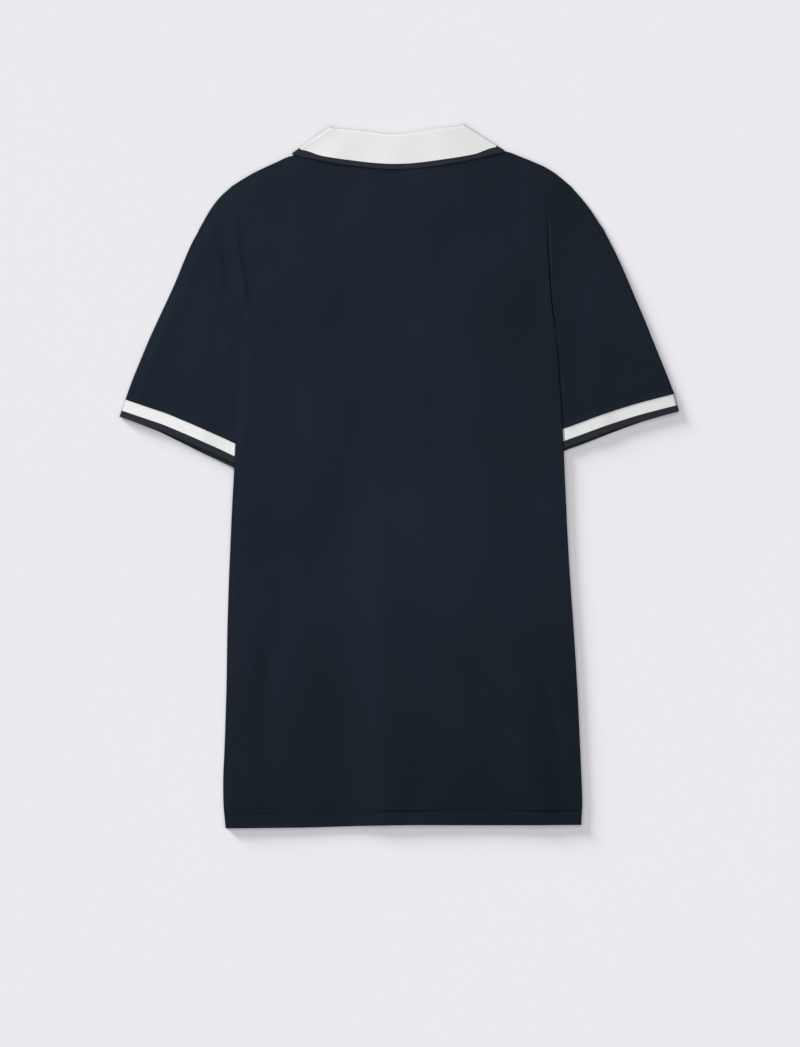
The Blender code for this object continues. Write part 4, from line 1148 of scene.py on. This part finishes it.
# How far out and up a turn of pressed cloth is at an angle: the sine and the cosine to a power, which
# flattens the half circle's top and bottom.
def pressedTurn(angle):
    sine, cosine = np.sin(angle), np.cos(angle)
    power = collarLook["pressing"]
    return np.abs(sine) ** power, np.sign(cosine) * np.abs(cosine) ** power


# Points of the collar at some stations, turned by their angles from the back's side over to the front's. Each
# section is the stand from the neck seam to the roll line, a half circle over the roll and the straight leaf,
# and its distance from the neck's middle level is the radius that the turn uses.
def collarRun(roll, seam, edge, angle, leafFrom, leafTo, settle, wider):
    leaf = edge - roll
    length = np.linalg.norm(leaf, axis=1)[:, None]
    down = leaf / length
    rise = (roll - seam) / np.linalg.norm(roll - seam, axis=1)[:, None]
    away = np.stack([down[:, 1], -down[:, 0]], axis=1)
    away = away * np.sign(np.sum(away * (roll + edge - 2 * np.array((0, body["topRow"]))), axis=1))[:, None]
    if leafFrom is None:
        leafTo = leafTo + wider
        stand = np.linspace(0, 1, collarLook["standCells"] + 1)
        over = np.linspace(0, 1, collarLook["rollCells"] + 1)[1:-1]
        fall = np.linspace(0, 1, collarLook["leafCells"])
        turned = rise[:, None] * (1 - over[:, None]) - down[:, None] * over[:, None]
        bulge, level = pressedTurn(over * math.pi)
        plan = np.concatenate([
            seam[:, None] + (roll - seam)[:, None] * stand[:, None],
            roll[:, None] + turned * collarLook["rollRadius"] * bulge[:, None],
            roll[:, None] + down[:, None] * ((length - leafTo) * fall)[..., None]], axis=1)
        radius = np.concatenate([
            np.full(len(stand), collarLook["standRadius"]),
            collarLook["standRadius"] + collarLook["rollRadius"] * (1 - level),
            np.full(len(fall), leafRadius)])
        free = np.concatenate([0 * stand, 0 * over, fall])[None] * (length - leafTo) / length
    else:
        back = (leafFrom + wider) * np.linspace(1, leafTo, collarLook["tipCells"] + 1)
        plan = edge[:, None] - down[:, None] * back[..., None]
        radius = np.full(back.shape[1], leafRadius)
        free = 1 - back / length
    radius = radius[None] - settle[:, None] * free
    bulge, level = pressedTurn(angle[:, None])
    x = plan[..., 0] + radius * bulge * away[:, :1]
    y = plan[..., 1] + radius * bulge * away[:, 1:]
    return np.stack([x, y, neckMiddle + radius * level], axis=-1)


# The collar's white or its tipping, in five runs: over the front at the left, round the left shoulder end,
# over the back, round the right end and over the front again. The leaf settles and its free edge waves at the
# back alone.
def collarPiece(name, node, leafFrom, leafTo, mat, thickness):
    look = collarLook
    sides = halfTurn(look["sideCells"])
    left, back, right = (collarStations(key, look[cells]) for key, cells in (
        ("left", "frontCells"), ("back", "backCells"), ("right", "frontCells")))
    runs = [
        (left, np.full(len(left[0]), math.pi)),
        ([part[-1:].repeat(len(sides), axis=0) for part in left], sides[::-1]),
        (back, np.zeros(len(back[0]))),
        ([part[:1].repeat(len(sides), axis=0) for part in right], sides),
        (right, np.full(len(right[0]), math.pi))]
    points = []
    for (roll, seam, edge), angle in runs:
        atBack = len(edge) == len(back[0])
        wavy = look["wave"] * np.sin(edge[:, 0] * 2 * math.pi / look["waveLength"]) * atBack
        ends = np.minimum(*(np.linalg.norm(edge - back[2][end], axis=1) for end in (0, -1)))
        settle = look["settle"] + look["settleEnds"][0] * (1 - ease(ends / look["settleEnds"][1]))
        settle = settle * np.abs(np.cos(angle / 2)) + wavy
        wider = (look["tippingEnds"] * (1 - ease(ends / look["tippingRun"])))[:, None]
        points.append(collarRun(roll, seam, edge, angle, leafFrom, leafTo, settle, wider))
    tellFrame(clothMesh(name, np.concatenate(points), mat, thickness, lengthwise=True), node)


collarPiece("collarRib", "collar", None, collarLook["tipping"] + collarLook["overlap"], whiteRib,
            layers["rib"])
collarPiece("collarTip", "collar_tipping", collarLook["tipping"] - collarLook["overlap"], 0, navyRib,
            layers["tip"])

print("placket and buttons")

placketLook = {
    "rows": 48,
    "across": 13,
    "edgeDrop": 0.12 * mm,
    "edgeHalf": 2 * mm,
}
buttonLook = {
    "profile": table("r z", [
        (0, 0.75), (2.6, 0.75), (3.5, 0.55), (4.1, 0.1), (4.5, 0), (4.95, 0.05), (5.35, 0.35), (5.5, 0.8),
        (5.5, 1.4), (5.3, 1.8), (4.9, 2.0), (2.0, 2.0), (0, 2.0)]),
    "profileCells": (14, 4, 3, 2, 3, 3, 3, 3, 3, 3, 8, 6),
    "turns": 72,
    # The four holes: how far from the middle, their radius with the rounding's start and run as shares of it,
    # their depth, and the face's height, above which nothing is pushed in.
    "holeAt": 1.25 * mm,
    "holeRadius": 0.62 * mm,
    "holeFrom": 1.2,
    "holeRun": 0.5,
    "holeDepth": 0.9 * mm,
    "faceBelow": 1.5 * mm,
    "rows": np.array((262, 212, 162)) * mm,
}


# A strip of the placket at one of its two levels, raised with the front by the buttons below.
def placketStrip(name, node, level, look):
    half = lifts["placketHalf"]
    ends = body["bendFrom"] + layers["gap"], lifts["placketTop"] - layers["gap"]
    along, across = np.linspace(*ends, look["rows"]), np.linspace(-half, half, look["across"])
    y, x = np.meshgrid(along, across, indexing="ij")
    z = baseLevel + frontLift(x, y) + level * layers["step"]
    z = z + look["edgeDrop"] * bump(half - np.abs(x), look["edgeHalf"])
    tellFrame(clothMesh(name, np.stack([x, y, z], axis=-1), navyJersey, layers["cloth"]), node)


# A button, face down: a profile turned round its middle, its face sunk inside the rim and pushed in at four
# holes by a rounded bump of the distance from each.
def buttonPiece(number, y, look):
    stops = np.arange(float(len(look["profile"]["r"])))
    fine = spaced(stops, look["profileCells"])
    radius, z = (np.interp(fine, stops, look["profile"][key])[:, None] for key in ("r", "z"))
    turn = np.linspace(0, 2 * math.pi, look["turns"] + 1)[:-1][None]
    x, across = radius * np.cos(turn), radius * np.sin(turn)
    z = z + 0 * turn
    for corner in (0.25, 0.75, 1.25, 1.75):
        away = np.hypot(x - look["holeAt"] * math.cos(corner * math.pi),
                        across - look["holeAt"] * math.sin(corner * math.pi))
        inside = look["holeRadius"] * look["holeFrom"] - away
        pushed = ease(inside / (look["holeRadius"] * look["holeRun"]))
        z = z + look["holeDepth"] * pushed * (z < look["faceBelow"])
    points = np.stack([x, across + y, z], axis=-1)
    piece = clothMesh(f"button{number}", points[:, ::-1], buttonResin, 0, ring=True)
    piece.modifiers.clear()
    tellFrame(piece, f"button_{number}")


placketStrip("placketOuterCloth", "placket_outer", 0, placketLook)
placketStrip("placketInnerCloth", "placket_inner", 1, placketLook)
for number, y in enumerate(buttonLook["rows"], start=1):
    buttonPiece(number, y, buttonLook)

print("stitches")

stitchLook = {
    "pitch": 2.9 * mm,
    "jitter": 0.12,  # of a millimetre, how unevenly they follow each other
    "length": 2.3 * mm,
    "radius": 0.12 * mm,
    "dip": 0.9,  # of the radius, how far the two ends dip, and how far the whole thread stands up
    "stand": 0.25,
    "tips": 0.0004,  # the square of what is left of the radius at the two ends
    "sides": 6,
    "rings": 7,
    "hemRows": (14.2 * mm, 11.2 * mm),
    "fromSides": 2 * mm,
    "pathPoints": 400,
    "underside": 1.3,  # of the radius, how high the front's rows lie
    "chance": 21,
}


# Stitches along a path: each a rounded grain of thread, its radius the square root of what is left of 1 - t^4
# and its two ends dipping into the cloth. All of them are one array, the grain's points times the stitches'
# frames.
def stitches(name, path, up, look):
    along = np.concatenate([[0], np.cumsum(np.linalg.norm(np.diff(path, axis=0), axis=1))])
    count = int(along[-1] / look["pitch"])
    chance = np.random.default_rng(look["chance"])
    uneven = chance.uniform(-look["jitter"], look["jitter"], count) * mm
    at = (np.arange(count) + 0.5) * look["pitch"] + uneven
    centre, ahead, behind = (np.stack([np.interp(place, along, path[:, k]) for k in range(3)], axis=1)
                             for place in (at, at + mm, at - mm))
    forward = (ahead - behind) / np.linalg.norm(ahead - behind, axis=1)[:, None]
    upright = np.array((0, 0, 1.0))
    t = np.linspace(-1, 1, look["rings"])[:, None]
    turn = np.linspace(0, 2 * math.pi, look["sides"] + 1)[:-1][None]
    radius = look["radius"] * np.sqrt(np.maximum(1 - t**4, look["tips"]))
    lift = up * (radius * np.sin(turn) - look["radius"] * look["dip"] * t**2 + look["radius"] * look["stand"])
    grain = np.stack([t * look["length"] / 2 + 0 * turn, radius * np.cos(turn), lift], axis=-1)
    points = (centre[:, None, None] + grain[None, ..., :1] * forward[:, None, None]
              + grain[None, ..., 1:2] * np.cross(upright, forward)[:, None, None]
              + grain[None, ..., 2:] * upright)
    index = np.arange(look["rings"] * look["sides"]).reshape(look["rings"], look["sides"])
    around = np.roll(index, -1, axis=1)
    cells = np.stack([index[:-1], index[1:], around[1:], around[:-1]], axis=-1).reshape(-1, 4)[:, ::up]
    caps = np.stack([index[0, ::up], index[-1, ::-up]])
    starts = (np.arange(count) * index.size)[:, None, None]
    faces = [(part[None] + starts).reshape(-1, part.shape[1]).tolist() for part in (cells, caps)]
    mesh = bpy.data.meshes.new(name)
    mesh.from_pydata((points.reshape(-1, 3) + seat).tolist(), [], faces[0] + faces[1])
    mesh.shade_smooth()
    mesh.materials.append(navyThread)
    tellFrame(addObject(name, mesh))


# The back's own level over any place of its flat middle and sides, for what is sewn on it.
def backSurface(x, y):
    look = backLook
    edge = np.where(x < 0, edgeAt(y, "left"), edgeAt(y, "right"))
    neck = np.where(x < 0, bodyLine("neckLine", y, "left"), bodyLine("neckLine", y, "right"))
    raised = sideLevel(x, y, np.clip(x / neck, 0, 1))
    near = ease(1 - np.abs(np.abs(edge) - foldReach - np.abs(x)) / look["overReach"])
    return (baseLevel + layers["step"] * (1 + 2 * raised) + backRelief(x, y) * (1 - look["foldPress"] * near)
            + hemHeight(x, y, look) + hemLift(y, raised) + layers["cloth"] / 2)


hemEnds = (edgeAt(body["hem"], side) - outward[side] * stitchLook["fromSides"] for side in ("left", "right"))
hemX = np.linspace(*hemEnds, stitchLook["pathPoints"])
for row, above in enumerate(stitchLook["hemRows"], start=1):
    hemY = bodyLine("hemEdge", hemX, "y") + above
    stitches(f"backHemStitches{row}", np.stack([hemX, hemY, backSurface(hemX, hemY)], axis=1), 1, stitchLook)
    frontZ = 0 * hemX + stitchLook["underside"] * stitchLook["radius"]
    stitches(f"frontHemStitches{row}", np.stack([hemX, hemY, frontZ], axis=1), -1, stitchLook)

print("stage, camera and light")

stageLook = {
    "size": 14.0,
    "floor": {"colour": (0.784, 0.775, 0.806), "shade": (0.776, 0.767, 0.798), "spread": (0, 1),
              "rough": 0.95, "specular": 0.1},
    "cloudScale": 1.5,
    "camera": {"height": 2.9, "frame": (800, 1047), "scale": 1.065 * mm, "middle": (0.0, -49.5 * mm)},
    # The sun's azimuth is counted from +X anticlockwise, to where the light comes from.
    "sun": {"energy": 4.6, "elevation": 14, "azimuth": 135, "angle": 18, "colour": (1.0, 0.99, 0.975)},
    "top": {"energy": 1.6, "elevation": 90, "azimuth": 0, "angle": 85, "colour": (0.985, 0.99, 1.0)},
    "world": {"colour": (0.96, 0.965, 1.0), "strength": 0.22},
}


def stageFloor(look):
    half = look["size"] / 2
    mesh = bpy.data.meshes.new("floor")
    corners = [(-half, -half, 0), (half, -half, 0), (half, half, 0), (-half, half, 0)]
    mesh.from_pydata(corners, [], [(0, 1, 2, 3)])
    mat, tree, shader, places = newFinish("paleFloor", look["floor"])
    clouds = noise(tree, places["Object"], look["cloudScale"], noiseDetail["floor"])
    tree.links.new(shadeRamp(tree, clouds, look["floor"]), shader.inputs["Base Color"])
    mesh.materials.append(mat)
    addObject("floor", mesh)


def sunLamp(name, look):
    lamp = bpy.data.lights.new(name, "SUN")
    lamp.energy = look["energy"]
    lamp.angle = math.radians(look["angle"])
    lamp.color = look["colour"]
    tilt, turn = math.radians(90 - look["elevation"]), math.radians(look["azimuth"])
    addObject(name, lamp).rotation_euler = (0, tilt, turn)


stageFloor(stageLook)
sunLamp("keyLight", stageLook["sun"])
sunLamp("topLight", stageLook["top"])

world = bpy.data.worlds.new("studio")
world.use_nodes = True
background = world.node_tree.nodes["Background"]
background.inputs["Color"].default_value = (*stageLook["world"]["colour"], 1)
background.inputs["Strength"].default_value = stageLook["world"]["strength"]
bpy.context.scene.world = world
bpy.context.scene.view_settings.view_transform = "Standard"

cameraLook = stageLook["camera"]
lens = bpy.data.cameras.new("camera")
lens.sensor_fit = "AUTO"
lens.lens = lens.sensor_width * cameraLook["height"] / (cameraLook["frame"][1] * cameraLook["scale"])
camera = addObject("camera", lens)
camera.location = (seat[0] + cameraLook["middle"][0], seat[1] + cameraLook["middle"][1], cameraLook["height"])
bpy.context.scene.camera = camera
